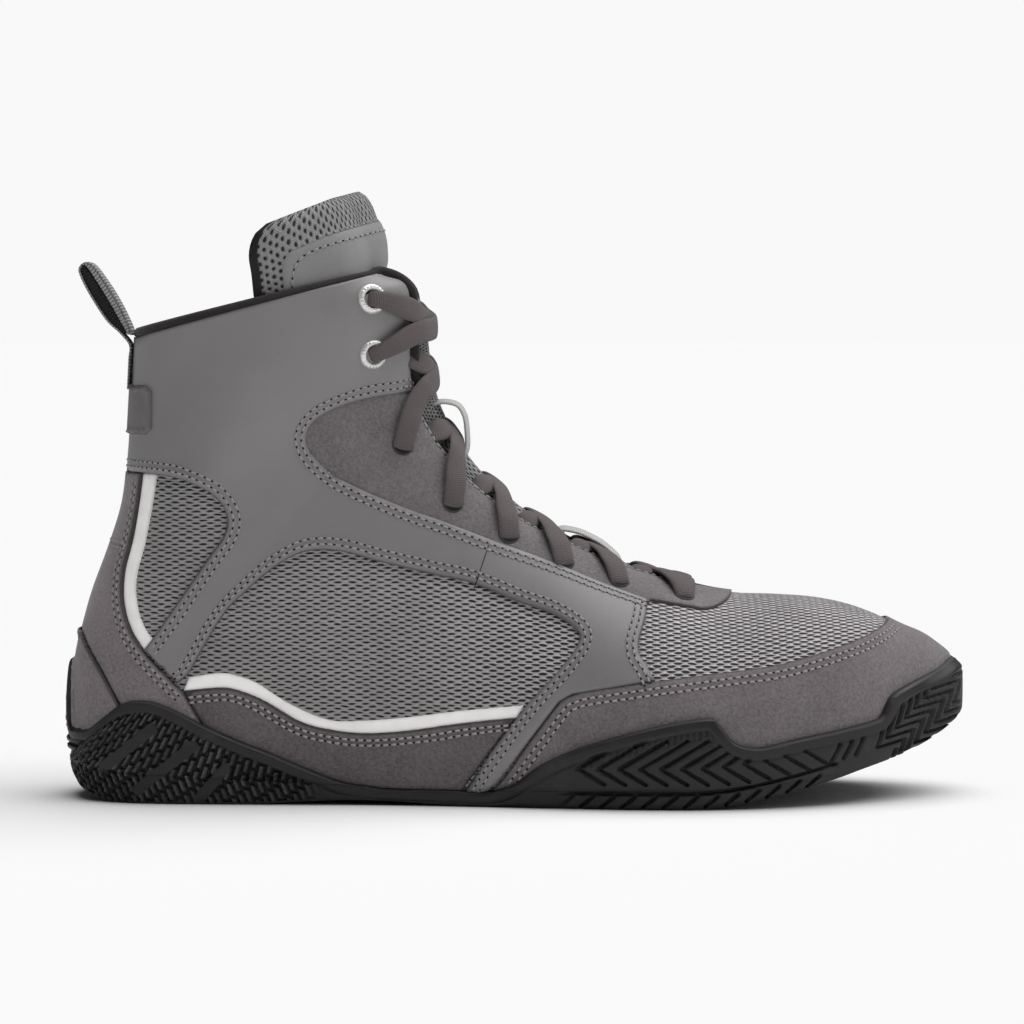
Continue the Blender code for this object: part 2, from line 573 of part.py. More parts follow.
def heel_loop():
    """Webbing folded into a loop behind the collar, its tail sewn down the back."""
    wide, thick = 13.0, 1.3
    lift = FOLLOW + GAP + thick / 2
    tail = [skin(u, 0, -1, lift) for u in (29.25, 29.6, 29.9)]
    fold = [(-127.6, 150.6), (-131.8, 154.6), (-137, 162.6), (-140.2, 169), (-140.4, 171.4),
            (-138.6, 172.7), (-136.2, 171.5), (-131.4, 164.8), (-127.9, 158.8), (-125.6, 153.8)]
    path = np.array([*tail, *[(x, MIDDLE, z) for x, z in fold]])
    way = np.gradient(path, axis=0)
    ups = np.stack([-way[:, 2], 0 * way[:, 0], way[:, 0]], 1)
    return place("heel_loop", band(path, ups, wide, thick), parts, "webbing")


def hole_frame(x, z, side):
    """Place and outward direction of a lace hole."""
    u, v = on_skin(x, z)
    foot = skin(u, v, side)
    normal = skin(u, v, side, 1.0) - foot
    return foot, normal / np.linalg.norm(normal)


def cross_axes(normal):
    """Two directions square to a normal, for a ring round it."""
    first = np.cross(normal, (0, 0, 1))
    first /= np.linalg.norm(first)
    return first, np.cross(normal, first)


def ring(centre, normal, profile, sides):
    """A ring round the normal: profile rows are radius and height."""
    first, second = cross_axes(normal)
    loops = []
    for k in range(sides):
        turn = 2 * math.pi * k / sides
        spoke = first * math.cos(turn) + second * math.sin(turn)
        loops.append([centre + spoke * radius + normal * height for radius, height in profile])
    bm = bmesh.new()
    join(bm, [*loops, loops[0]], closed=True)
    return bm


def eyelets():
    """Rolled metal rings at the top of the lacing, over holes through the wall."""
    wall = [bpy.data.objects[name] for name in ("upper", "ankle_cage")]
    seat = FOLLOW + GAP
    roll = 0.5
    profile = [(EYELET_HOLE, seat), (EYELET_OUT, seat), (EYELET_OUT - roll, seat + EYELET_HIGH),
               (EYELET_HOLE + roll, seat + EYELET_HIGH)]
    for k, (x, z) in enumerate(LACE_HOLES[:EYELETS]):
        for side, word in ((-1, "lateral"), (1, "medial")):
            name = f"eyelet_{word}_{k + 1}"
            centre, normal = hole_frame(x, z, side)
            place(name, ring(centre, normal, profile, 10), parts, "metal")
            first, second = cross_axes(normal)
            loops = []
            for depth in (-8, 8):
                turns = [2 * math.pi * n / 6 for n in range(6)]
                loops.append([centre + normal * depth + EYELET_HOLE * (first * math.cos(t) + second * math.sin(t))
                              for t in turns])
            bm = bmesh.new()
            join(bm, loops, closed=True, caps=True)
            split_wide_faces(bm)
            tool = place(name + "_hole", bm, cutters)
            for piece in wall:
                cut(piece, tool)


def strand(start, end, side, lay):
    """One crossing of the lace, from a hole on one side to the next hole on the other."""
    (x0, z0), (x1, z1) = start, end
    seat = FOLLOW + LACE_CLEAR + LACE_THICK / 2 + lay
    over_eyelet = GAP + EYELET_HIGH
    u0, v0 = on_skin(x0, z0)
    u1, v1 = on_skin(x1, z1)
    points, ups = [], []
    for share in (0, 0.15, 0.3, 0.5, 0.7, 0.85, 1):
        u = u0 + (u1 - u0) * share
        here = side if share < 0.5 else -side
        reach = min(2 * share, 2 - 2 * share)
        edge, hole = (v0, start) if share < 0.5 else (v1, end)
        column = edge + (1 - edge) * min(reach / 0.6, 1)
        up = seat + over_eyelet * (hole in LACE_HOLES[:EYELETS])
        on_wall = skin(u, column, here, up)
        bow = ridge(u, max(rise(u), FOLLOW) + LACE_CLEAR + LACE_THICK / 2 + lay)
        over = np.clip((reach - 0.3) / 0.7, 0, 1)
        over = over * over * (3 - 2 * over)
        points.append(on_wall + (bow - on_wall) * np.array([over, max(reach - 0.6, 0) / 0.4, over]))
        ups.append((skin(u, column, here, up + 1) - on_wall) * (1 - over) + (bow - ridge(u, 0)) * over)
    for tip, inner in ((0, 1), (-1, -2)):
        away = points[tip] - points[inner]
        points[tip] = points[tip] + away * LACE_END / np.linalg.norm(away)
    return band(points, ups, LACE_WIDE, LACE_THICK)


def lace():
    """The criss-cross of the lace and the bar across its lowest holes, joined where they meet."""
    pairs = list(zip(LACE_HOLES, LACE_HOLES[1:]))
    strands = []
    for k, (a, b) in enumerate(pairs):
        strands.append(strand(a, b, -1, LACE_LAY * (k % 2)))
        strands.append(strand(a, b, 1, LACE_LAY * (k % 2 + 0.5)))
    strands.append(strand(LACE_HOLES[-1], LACE_HOLES[-1], -1, 2 * LACE_LAY))
    whole = place("lace", strands[0], parts, "lace")
    for k, piece in enumerate(strands[1:]):
        cut(whole, place(f"lace_strand_{k + 1}", piece, cutters), "UNION")
    merge_flat(whole, 4)
    return whole


def lace_keepers():
    """Webbing straps sewn to the middle of the tongue at both ends, over the lace."""
    wide, thick = 9.0, 0.9
    for name, (low, high) in KEEPERS.items():
        path = []
        for share, lift in ((0, 0.0), (0.12, 1.0), (0.3, 3.1), (0.5, 3.5), (0.7, 3.1), (0.88, 1.0), (1, 0.0)):
            u = low + (high - low) * share
            path.append(ridge(u, rise(u) + 3 * GAP + thick / 2 + lift))
        path = np.array(path)
        way = np.gradient(path, axis=0)
        ups = np.stack([-way[:, 2], 0 * way[:, 0], way[:, 0]], 1)
        place(name, band(path, ups, wide, thick), parts, "webbing")


def main():
    upper()
    tongue()
    insole()
    outsole()
    overlays()
    panel("heel_badge", BADGE, "badge", FOLLOW + GAP, FOLLOW + GAP + 1.4)
    collar_binding()
    heel_loop()
    eyelets()
    lace()
    lace_keepers()


for old in list(bpy.data.objects):
    bpy.data.objects.remove(old, do_unlink=True)
parts = bpy.data.collections.new("boxing_shoe")
cutters = bpy.data.collections.new("cutters")
bpy.context.scene.collection.children.link(parts)
bpy.context.scene.collection.children.link(cutters)
main()
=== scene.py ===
"""Looks of the boxing shoe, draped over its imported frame.

Sizes are in millimetres on the shoe and become metres where a mesh is made. The toe points to +X
and the outer side of the foot, which the camera sees, to -Y.
"""

import math

import bmesh
import bpy
import numpy as np
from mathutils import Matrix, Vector
from mathutils.geometry import delaunay_2d_cdt
from mathutils.kdtree import KDTree


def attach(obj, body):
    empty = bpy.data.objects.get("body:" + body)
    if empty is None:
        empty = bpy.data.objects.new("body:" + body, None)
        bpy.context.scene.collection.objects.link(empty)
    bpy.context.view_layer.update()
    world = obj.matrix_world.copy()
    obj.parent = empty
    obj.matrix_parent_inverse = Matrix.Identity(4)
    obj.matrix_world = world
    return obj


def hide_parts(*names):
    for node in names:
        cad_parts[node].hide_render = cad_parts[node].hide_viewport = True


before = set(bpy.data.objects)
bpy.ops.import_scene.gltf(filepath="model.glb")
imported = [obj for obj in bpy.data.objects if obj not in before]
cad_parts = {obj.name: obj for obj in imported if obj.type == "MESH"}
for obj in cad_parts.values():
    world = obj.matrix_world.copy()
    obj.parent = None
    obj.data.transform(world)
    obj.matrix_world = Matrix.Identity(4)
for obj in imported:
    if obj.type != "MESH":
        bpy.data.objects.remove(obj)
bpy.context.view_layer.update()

MM = 0.001
OUTER, INNER = SIDES = -1, 1   # of the foot

# Driving sizes
WALL = 2.0             # upper wall
PANEL = 1.0            # leather and suede sewn on the wall
STRIPE = 0.45          # printed film on the wall
TUCK = 0.25            # how deep the edge of a sewn piece sits in what carries it
SOLE_THICK = 3.5       # rubber outside the upper, at the top of its lugs
RIM = 3.4              # smooth rim along the sole's top edge
SKIRT = 0.12           # column share that the sole reaches below the feather edge
TONGUE = 3.6           # padding of the tongue
TONGUE_SINK = 1.6      # room between the wall and the tongue
LACE_WIDE = 7.6
LACE_THICK = 1.8
LACE_STEP = 0.75       # between its rings of corners
OVER_RING = 1.1        # how much higher the lace lies over a metal ring
EYELET_OUT = 4.8       # radius of a metal ring
EYELET_HOLE = 2.9      # radius of its hole
STITCH_PITCH = 2.6
STITCH_ROWS = (1.9, 3.8)   # from the cut edge
STITCH_THICK = 0.36    # half of a thread
STITCH_LONG = 0.68     # share of the pitch that a stitch covers
ROUND = 2.0            # fullness of a round section
MIDDLE = 0.95          # sideways place of the heel's middle
MIN_STEP = 0.12        # corners of an outline that are closer than this are dropped
TOP_STEP = 13.5        # rough height of a section above the collar

# Places along a stitch as shares of its length, how high the thread bows there, and its fullness
STITCH_BEND = [(-0.5, -0.26, 0.7), (-0.3, 0.12, 1), (0, 0.18, 1), (0.3, 0.12, 1), (0.5, -0.26, 0.7)]

# Underside of the sole: height, start and length of each rise, and what the toe springs beyond it
HEEL_RISE = (14, -126, 20.5)
ARCH_RISE = (1.6, -92, 84)
TOE_RISE = (24, 42, 101.5)
TOE_SPRING = 2.4

# Cuts in the rubber. A lug has its place's width and height, its lean, its rise round the heel, the
# shift from column to column, and the soft edges of its side and its end.
GROOVE_DEEP, LUG_DEEP = 1.5, 1.2
CHEVRON_PITCH, CHEVRON_FALL = 6.55, 0.6
RIB_PITCH = 2.0
LUG_WIDE, LUG_TALL, LUG_LEAN, LUG_RISE, LUG_SHIFT = 2.5, 4.6, 0.36, 0.16, 0.618
LUG_SIDE, LUG_END = (0.6, 0.95), (1.6, 2.1)

# Cross sections of the last, toe to collar. Each runs from its top point (tx, tz) on the throat to
# its bottom point (bx, bz) on the sole or back seam. cb and ct: centre line below and above. foot:
# half width at the sole. wide: greatest half width, at cm of the way up. gap: half width of the
# throat. vm: share of the columns below cm. q: fullness above cm, where a round one has 2.
COLUMNS = "tx tz bx bz cb ct foot wide gap cm vm q".split()
SECTIONS = np.array([
    # Toe cap and vamp
    (142.6, 44.0, 142.6, 29.0, 10.0, 10.0, 0.0, 0.0, 0.0, 0.40, 0.36, 2.2),
    (141.6, 45.4, 141.6, 26.8, 9.9, 9.9, 4.5, 7.4, 0.0, 0.40, 0.36, 2.2),
    (138.6, 47.8, 138.6, 24.0, 9.6, 9.6, 10.2, 13.2, 0.0, 0.39, 0.35, 2.2),
    (133.6, 51.2, 133.6, 20.6, 9.0, 9.0, 16.5, 19.5, 0.0, 0.38, 0.34, 2.2),
    (126.6, 54.2, 126.6, 17.4, 7.8, 8.2, 22.8, 25.9, 0.0, 0.36, 0.33, 2.2),
    (118.0, 58.4, 118.0, 14.6, 6.2, 7.0, 28.8, 32.0, 0.0, 0.34, 0.32, 2.2),
    (108.5, 61.8, 108.5, 12.2, 4.4, 5.6, 33.8, 37.2, 0.0, 0.32, 0.31, 2.2),
    (97.5, 64.0, 97.5, 10.0, 2.6, 4.4, 38.0, 41.4, 0.0, 0.30, 0.30, 2.15),
    (84.5, 65.0, 85.5, 8.4, 0.9, 3.2, 41.3, 44.7, 0.0, 0.29, 0.30, 2.1),
    (73.5, 65.4, 75.5, 7.3, -0.4, 2.4, 42.9, 46.3, 0.0, 0.28, 0.30, 2.05),
    (64.5, 66.6, 67.0, 6.7, -1.2, 2.0, 43.5, 46.9, 0.0, 0.28, 0.30, 2.0),
    # Throat
    (55.5, 68.4, 58.5, 6.3, -2.0, 1.8, 43.6, 47.0, 5.5, 0.27, 0.30, 1.95),
    (44.0, 71.4, 48.0, 6.2, -2.6, 1.8, 43.0, 46.5, 8.6, 0.26, 0.30, 1.9),
    (30.0, 76.2, 35.0, 6.0, -3.2, 1.8, 41.3, 44.9, 10.5, 0.25, 0.30, 1.85),
    (16.0, 82.4, 20.0, 5.6, -3.7, 1.8, 38.2, 41.8, 11.5, 0.24, 0.30, 1.8),
    (4.0, 88.3, -1.0, 5.2, -4.0, 1.6, 34.2, 38.0, 12.0, 0.23, 0.30, 1.75),
    (-6.5, 95.5, -29.0, 5.2, -3.8, 1.3, 29.8, 34.4, 12.3, 0.23, 0.30, 1.75),
    (-16.0, 103.5, -62.0, 6.8, -2.4, 0.9, 28.2, 32.7, 12.5, 0.24, 0.31, 1.8),
    (-24.0, 113.0, -96.0, 8.4, -0.9, 0.5, 28.8, 32.4, 12.8, 0.25, 0.32, 1.85),
    (-28.8, 120.5, -117.0, 9.4, -0.3, 0.3, 27.4, 32.2, 13.0, 0.27, 0.34, 1.9),
    (-31.6, 126.0, -130.5, 10.2, 0.0, 0.2, 21.8, 32.0, 13.0, 0.29, 0.36, 1.9),
    (-33.2, 130.0, -138.4, 11.2, 0.0, 0.1, 13.2, 31.8, 13.0, 0.30, 0.38, 1.95),
    (-34.0, 133.0, -142.0, 13.5, 0.0, 0.0, 0.0, 31.6, 13.0, 0.31, 0.40, 1.95),
    # Back seam and shaft
    (-34.5, 136.5, -142.9, 28.0, 0.0, 0.0, 0.0, 31.4, 13.0, 0.32, 0.41, 2.0),
    (-34.7, 140.5, -141.3, 45.5, 0.0, 0.0, 0.0, 31.2, 13.0, 0.33, 0.42, 2.0),
    (-34.8, 145.0, -136.8, 64.0, 0.0, 0.0, 0.0, 31.2, 13.0, 0.35, 0.43, 2.0),
    (-34.8, 149.5, -130.8, 80.5, 0.0, 0.0, 0.0, 31.7, 13.0, 0.37, 0.44, 2.0),
    (-34.9, 154.0, -126.2, 95.5, 0.0, 0.0, 0.0, 32.4, 13.3, 0.40, 0.45, 2.0),
    (-34.8, 159.3, -124.4, 112.0, 0.0, 0.0, 0.0, 33.0, 13.6, 0.43, 0.46, 2.0),
    (-36.4, 165.4, -123.2, 131.0, 0.0, 0.0, 0.0, 33.6, 14.0, 0.46, 0.47, 2.0),
    (-44.5, 169.0, -122.3, 149.5, 0.0, 0.0, 0.0, 34.2, 15.0, 0.48, 0.48, 2.0),
    # Above the collar, for the tongue alone
    (-47.5, 180.0, -122.0, 160.0, 0.0, 0.0, 0.0, 34.2, 15.0, 0.48, 0.48, 2.0),
    (-52.5, 195.4, -122.0, 168.6, 0.0, 0.0, 0.0, 33.6, 15.0, 0.48, 0.48, 2.0),
])

# Rows of the sections
THROAT_ROW = 10        # front end of the throat
SEAM_ROW = 22          # foot of the back seam
COLLAR_ROW = 30
TOP_ROW = len(SECTIONS) - 1
SHAFT_ROWS = (13.5, 17.5)   # where the net turns from round the vamp to up the shaft
TONGUE_START = 9.2
WING_ROUND = 31.2      # from here the corners of the tongue round off
TIP_ROUND = 31.3       # and from here its padding

# Side view of the pieces: x, z
SOLE_TOP = [(-141.6, 44.2), (-141.4, 25.2), (-138.5, 23.4), (-135, 23.6), (-129, 28.6),
            (-125, 31.8), (-120, 33.3), (-115, 33.2), (-107.5, 30.4), (-98, 25.4), (-87, 20.6),
            (-77.5, 17), (-62, 10.4), (-54, 7.4), (-43.5, 5.8), (-31, 5.3), (-18, 5.2),
            (-9, 5.0), (-1, 7.4), (7, 13.2), (15, 17.4), (26.5, 21.6), (40, 25.4), (52, 27.9),
            (62, 28.9), (64.5, 26.6), (69, 21.6), (74.5, 20), (79, 20.2), (88.5, 22.2),
            (103, 24.7), (113, 26.7), (116, 28.1), (118.5, 32.6), (120.5, 34.8), (126, 37.3),
            (136.5, 41.2), (141.5, 43.8), (150, 46)]
REAR_WINDOW = [(-150, 105.5), (-126, 105.4), (-111.7, 104.6), (-104, 102.8), (-97, 99.4),
               (-93, 95.3), (-91.4, 90.3), (-93, 84.9), (-97, 79.4), (-106, 66.4), (-115, 53.3)]
MAIN_WINDOW = [(-103.7, 41.7), (-93, 60), (-85, 68.4), (-77.6, 74.8), (-69.7, 79.5), (-62.4, 81.1),
               (-53.5, 80.2), (-43.6, 77.4), (-25.8, 73.1), (-13.7, 70.4), (1, 64.6), (10.2, 61.6),
               (16.2, 58.6), (19.9, 55.5), (20.5, 52.8), (18, 48.4), (13, 42.4), (3.6, 32.4)]
LEG_REAR = [(3.6, 32.4), (-7, 18.5), (-15.4, 5.8), (-17.5, 2)]
PATCH_EDGE = [(-20, 131.2), (-33.6, 130.9), (-48, 128.9), (-57.7, 125.8), (-64, 121.8),
              (-66.3, 116.8), (-63.7, 110.9), (-55, 103.6), (-36.4, 95), (-23.4, 90.2), (-7.8, 84),
              (12.2, 76.5), (28.4, 69.8), (42.6, 64.6)]
EYESTAY_FRONT = [(42.6, 64.6), (55.6, 62.3), (61, 61.4), (66.4, 62.6), (71, 66), (71.4, 72)]
CAGE_FRONT = [(42.6, 64.6), (41.5, 58.8), (39.5, 52.5), (39.7, 48.3), (41.9, 44.9), (44.5, 40.4)]
GUARD_TOP = [(-12, 2), (-4.6, 8.4), (5, 21.5), (14.3, 33.6), (18.5, 36), (23.7, 37.5), (44.5, 40.4),
             (65, 42.7), (83.5, 45), (103, 49.8), (116.6, 54.3), (122, 57.4), (126, 64)]
BAND_TOP = [(-105.6, 36.3), (-95.4, 37.3), (-89.7, 37), (-80.8, 33.8), (-68.4, 26.8), (-59.4, 24.3),
            (-48.3, 23.1), (-34.9, 23.9), (-16.9, 26.5), (1, 28.6)]
STRIPE_TOP = [(-103.7, 40.8), (-94.8, 42.1), (-89.7, 41.7), (-81.8, 38.9), (-71.6, 32.5),
              (-59.5, 27.5), (-48.3, 27.2), (-34.9, 28.3), (-16.9, 30.6), (3, 32.6)]
REAR_STRIPE = [(-114.1, 105.2), (-115.6, 95), (-117.7, 83.5), (-120.4, 73), (-120.3, 64.6),
               (-117.9, 56.8), (-112.9, 50.2)]
STRAP_END = [(-118, 49.4), (-107.4, 38.6)]
COUNTER_FRONT = [(-118.9, 105.3), (-120.3, 94), (-122, 83.7), (-124.5, 73.4), (-124.6, 64.2),
                 (-122.2, 55.8), (-117.6, 48.6), (-108.9, 39.4), (-105.6, 36.3), (-98, 22)]
PATCH_WEDGE = [(-150, 60), (-141.5, 56), (-137.8, 52), (-131.5, 42.5), (-124.6, 30)]
BADGE = [(-150, 117.5), (-117, 117.5), (-115, 119.5), (-115, 131.5), (-117, 133.5), (-150, 133.5)]
STRAP_SEAM = [(-8.4, 82), (-12.8, 68.6)]
LACE_HOLES = [(-45.8, 161.0), (-45.6, 143.6), (-36, 114.3), (-20, 95.7), (-2, 85.2), (15.6, 76.5),
              (33.2, 70.4), (54.2, 65.6)]
EYELETS = 2            # holes with a metal ring
EYELET_SECTION = [(EYELET_HOLE - 0.25, -1.6), (EYELET_HOLE, 0.45), (3.4, 1.15), (4.1, 1.05), (4.6, 0.55),
                  (EYELET_OUT, -0.3)]   # radius, height
LOOP_FOLD = [(-127.6, 150.6), (-131.8, 154.6), (-137, 162.6), (-140.2, 169), (-140.4, 171.4),
             (-138.6, 172.7), (-136.2, 171.5), (-131.4, 164.8), (-127.6, 158.2), (-124.6, 151.6),
             (-124.4, 149.6)]
HEEL_BARS = [[(-131.4, 11.5), (-115.5, 24.5)], [(-120.4, 4.6), (-102.5, 18.8)], [(-100, 2.5), (-92, 11.9)]]
HEEL_TACK = [[(-129.5, 83.1), (-123.2, 82.2)], [(-129.5, 81.4), (-123.2, 80.5)]]
TOE_CUTS = [[(103.6, 20.4), (100.4, 14.4)], [(107.8, 21.6), (104.4, 15.2)], [(111.8, 22.8), (108.4, 16.2)]]
TOE_STEPS = [(0, 0), (-2.6, -7.2), (6.9, -5.2), (4.3, -12.4), (13.8, -10.4), (11.2, -17.6)]
VAMP_FADE = (-70, 56)  # x where the net opens up toward the toe and its colour runs lighter, partly painted light on the vamp's top

# Rows of the tongue that each keeper spans and its fullness, and its arch: share of the span, height
KEEPERS = {"lace_keeper_upper": (17.5, 19.7, 1.2), "lace_keeper_lower": (12.8, 14.15, 0.5)}
KEEPER_ARCH = [(-0.06, -3.0), (0.03, 0.2), (0.28, 3.2), (0.5, 3.9), (0.72, 3.2), (0.97, 0.2), (1.06, -3.0)]


# The last

def spline(rows, at):
    """Smooth curve through the rows, read at places counted in rows."""
    rows = np.asarray(rows, float)
    at = np.clip(np.asarray(at, float), 0, len(rows) - 1)
    slope = np.gradient(rows, axis=0)
    low = np.minimum(at.astype(int), len(rows) - 2)
    t = (at - low)[..., None]
    h = rows[low + 1] - rows[low]
    bend = 3 * h - 2 * slope[low] - slope[low + 1]
    twist = slope[low] + slope[low + 1] - 2 * h
    return rows[low] + t * (slope[low] + t * (bend + t * twist))


def last(u, v, side):
    """Outer face of the upper: section u, column v (0 sole, 1 throat), side of the foot."""
    u, v = np.broadcast_arrays(np.asarray(u, float), np.asarray(v, float))
    k = dict(zip(COLUMNS, np.moveaxis(spline(SECTIONS, u), -1, 0)))
    low = v < k["vm"]
    turn = np.where(low, 1 - v / k["vm"], (v - k["vm"]) / (1 - k["vm"])) * math.pi / 2
    power = 2 / np.where(low, ROUND, k["q"])
    rise = np.clip(np.sin(turn), 0, 1) ** power
    full = np.clip(np.cos(turn), 0, 1) ** power
    c = np.where(low, k["cm"] * (1 - rise), k["cm"] + (1 - k["cm"]) * rise)
    end = np.where(low, k["foot"], k["gap"])
    half = np.maximum(end + (k["wide"] - end) * full, 0)
    y = MIDDLE + k["cb"] + (k["ct"] - k["cb"]) * c * c * (3 - 2 * c) + side * half
    return np.stack([k["bx"] + (k["tx"] - k["bx"]) * c, y, k["bz"] + (k["tz"] - k["bz"]) * c], -1)


def slopes(u, v, side):
    """Change of the outer face for one section and for one column."""
    step = 0.02
    u0, u1 = np.maximum(u - step, 0), np.minimum(u + step, TOP_ROW)
    v0, v1 = np.maximum(v - step, 0), np.minimum(v + step, 1)
    along = (last(u1, v, side) - last(u0, v, side)) / (u1 - u0)[..., None]
    across = (last(u, v1, side) - last(u, v0, side)) / (v1 - v0)[..., None]
    return along, across


def normal_at(u, v, side):
    """Outward direction of the upper's face, upright on the seams where both halves meet."""
    u, v = np.broadcast_arrays(np.asarray(u, float), np.asarray(v, float))
    along, across = slopes(u, v, side)
    normal = np.cross(along, across) * side
    toe, back, ridge_line = u < 1e-6, (v < 1e-6) & (u >= SEAM_ROW), (v > 1 - 1e-6) & (u <= THROAT_ROW)
    line = np.where(toe[..., None], across, along) * np.where(back, -1, 1)[..., None]
    upright = np.stack([line[..., 2], 0 * u, -line[..., 0]], -1)
    return unit(np.where((toe | back | ridge_line)[..., None], upright, normal))


def skin(u, v, side, out=0.0):
    """The upper's face moved outwards."""
    return last(u, v, side) + normal_at(u, v, side) * np.asarray(out, float)[..., None]


def tread(x):
    """Height of the sole's underside: heel curve, arch, flat forefoot and toe spring."""
    x = np.asarray(x, float)
    high, start, long = HEEL_RISE
    heel = high * (1 - np.sqrt(1 - np.clip((start - x) / long, 0, 1) ** 2))
    high, start, long = ARCH_RISE
    arch = high * np.sin(np.clip((x - start) / long, 0, 1) * math.pi) ** 2
    high, start, long = TOE_RISE
    toe = high * np.clip((x - start) / long, 0, 2) ** 2.6
    return heel + arch + toe + TOE_SPRING * between(x, 55, 98, 108, 136)


def tree_of(points):
    """Look-up of the nearest of the points."""
    tree = KDTree(len(points))
    for n, point in enumerate(points):
        tree.insert(point, n)
    tree.balance()
    return tree


def chart_of_side():
    """Look-up of the outer side by its side view, with the section and column of each place."""
    u, v = np.meshgrid(np.linspace(0, COLLAR_ROW, 451), np.linspace(0, 1, 161), indexing="ij")
    seen = last(u, v, OUTER).reshape(-1, 3)
    return tree_of(seen * (1, 0, 1)), u.ravel(), v.ravel()


side_tree, side_u, side_v = chart_of_side()


def on_skin(points):
    """Sections and columns of the places that show at x, z from the side."""
    points = np.asarray(points, float)
    near = [side_tree.find((x, 0, z))[1] for x, z in points]
    u, v = side_u[near], side_v[near]
    for _ in range(5):
        miss = points - last(u, v, OUTER)[:, ::2]
        along, across = slopes(u, v, OUTER)
        a, b, c, d = along[:, 0], across[:, 0], along[:, 2], across[:, 2]
        det = a * d - b * c
        det = np.where(np.abs(det) < 1e-3, np.inf, det)
        du = np.clip((d * miss[:, 0] - b * miss[:, 1]) / det, -0.3, 0.3)
        dv = np.clip((a * miss[:, 1] - c * miss[:, 0]) / det, -0.03, 0.03)
        new_u, new_v = np.clip(u + du, 0, COLLAR_ROW), np.clip(v + dv, 0, 1)
        new_miss = points - last(new_u, new_v, OUTER)[:, ::2]
        better = np.sum(new_miss ** 2, 1) < np.sum(miss ** 2, 1)
        u, v = np.where(better, new_u, u), np.where(better, new_v, v)
    return np.stack([u, v], 1)


def smooth(low, high, x):
    """Soft step from 0 to 1."""
    t = np.clip((np.asarray(x, float) - low) / (high - low), 0, 1)
    return t * t * (3 - 2 * t)


def between(x, rise, full, fade, end):
    """Soft window: 1 from full to fade, 0 before rise and after end."""
    return smooth(rise, full, x) * (1 - smooth(fade, end, x))


def unit(vectors):
    """Directions of length 1."""
    return vectors / np.maximum(np.linalg.norm(vectors, axis=-1, keepdims=True), 1e-6)


def run_of(points):
    """Way along a line from its start to each of its points."""
    return np.concatenate([[0], np.cumsum(np.linalg.norm(np.diff(points, axis=0), axis=1))])


def read_line(rows, run, at):
    """Rows of a line, read at ways along it."""
    return np.stack([np.interp(at, run, column) for column in np.asarray(rows).T], -1)


def resample(points, pitch):
    """A line cut into even steps."""
    points = np.asarray(points, float)
    run = run_of(points)
    count = max(int(round(run[-1] / pitch)), 2)
    return read_line(points, run, np.linspace(0, run[-1], count + 1))


def rounded(points, pitch, fine=24):
    """A drawn line as a smooth curve, cut into even steps."""
    at = np.linspace(0, len(points) - 1, fine * len(points))
    return resample(spline(points, at), pitch)


def eased(path, times):
    """A path with its bends eased and its ends kept."""
    for _ in range(times):
        path[1:-1] = (path[:-2] + 2 * path[1:-1] + path[2:]) / 4
    return path


def side_square(path):
    """Directions square to a path in the side view."""
    way = np.gradient(path, axis=0)
    square = np.stack([-way[:, 2], 0 * way[:, 0], way[:, 0]], 1)
    return square / np.linalg.norm(way, axis=1, keepdims=True)


# Meshes

def make_piece(name, bm, finishes, nodes, merge=True, solid=False):
    """A bmesh in millimetres becomes a piece that rides on the shoe and stands for its solids.

    merge closes its seams, and solid turns its faces outwards.
    """
    if merge:
        bmesh.ops.remove_doubles(bm, verts=bm.verts, dist=0.01)
    if solid:
        bmesh.ops.recalc_face_normals(bm, faces=bm.faces)
    bmesh.ops.scale(bm, vec=Vector((MM, MM, MM)), verts=bm.verts)
    mesh = bpy.data.meshes.new(name)
    bm.to_mesh(mesh)
    bm.free()
    for finish in finishes:
        mesh.materials.append(finish)
    mesh.shade_smooth()
    obj = bpy.data.objects.new(name, mesh)
    bpy.context.scene.collection.objects.link(obj)
    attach(obj, "root")
    if nodes:
        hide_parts(*nodes)
    return obj


def drape(bm, rows, columns, place, size=(1.0, 1.0), flip=False, finish=0, cloth=None):
    """A grid laid on a surface: place turns shares of the rows and columns into points.

    The piece's map follows the shares, or cloth where that is given, in metres.
    """
    layer = bm.loops.layers.uv.get("UVMap") or bm.loops.layers.uv.new("UVMap")
    made = bmesh.ops.create_grid(bm, x_segments=rows, y_segments=columns, size=0.5)
    verts = made["verts"]
    a, b = (np.array([vert.co[:2] for vert in verts]) + 0.5).T
    flat = np.stack([a * size[0], b * size[1]], 1) if cloth is None else cloth(a, b)
    spot = dict(zip(verts, (flat * MM).tolist()))
    for vert, point in zip(verts, place(a, b)):
        vert.co = point
    faces = {face for vert in verts for face in vert.link_faces}
    for face in faces:
        face.material_index = finish
        for loop in face.loops:
            loop[layer].uv = spot[loop.vert]
    if flip:
        bmesh.ops.reverse_faces(bm, faces=list(faces))
    return verts


def inside(loop, points):
    """Which points lie in a closed loop."""
    x, y = points.T
    result = np.zeros(len(points), bool)
    for (x0, y0), (x1, y1) in zip(loop, np.roll(loop, -1, 0)):
        if y0 != y1:
            crossing = (y0 > y) != (y1 > y)
            result ^= crossing & (x < (x1 - x0) * (y - y0) / (y1 - y0) + x0)
    return result


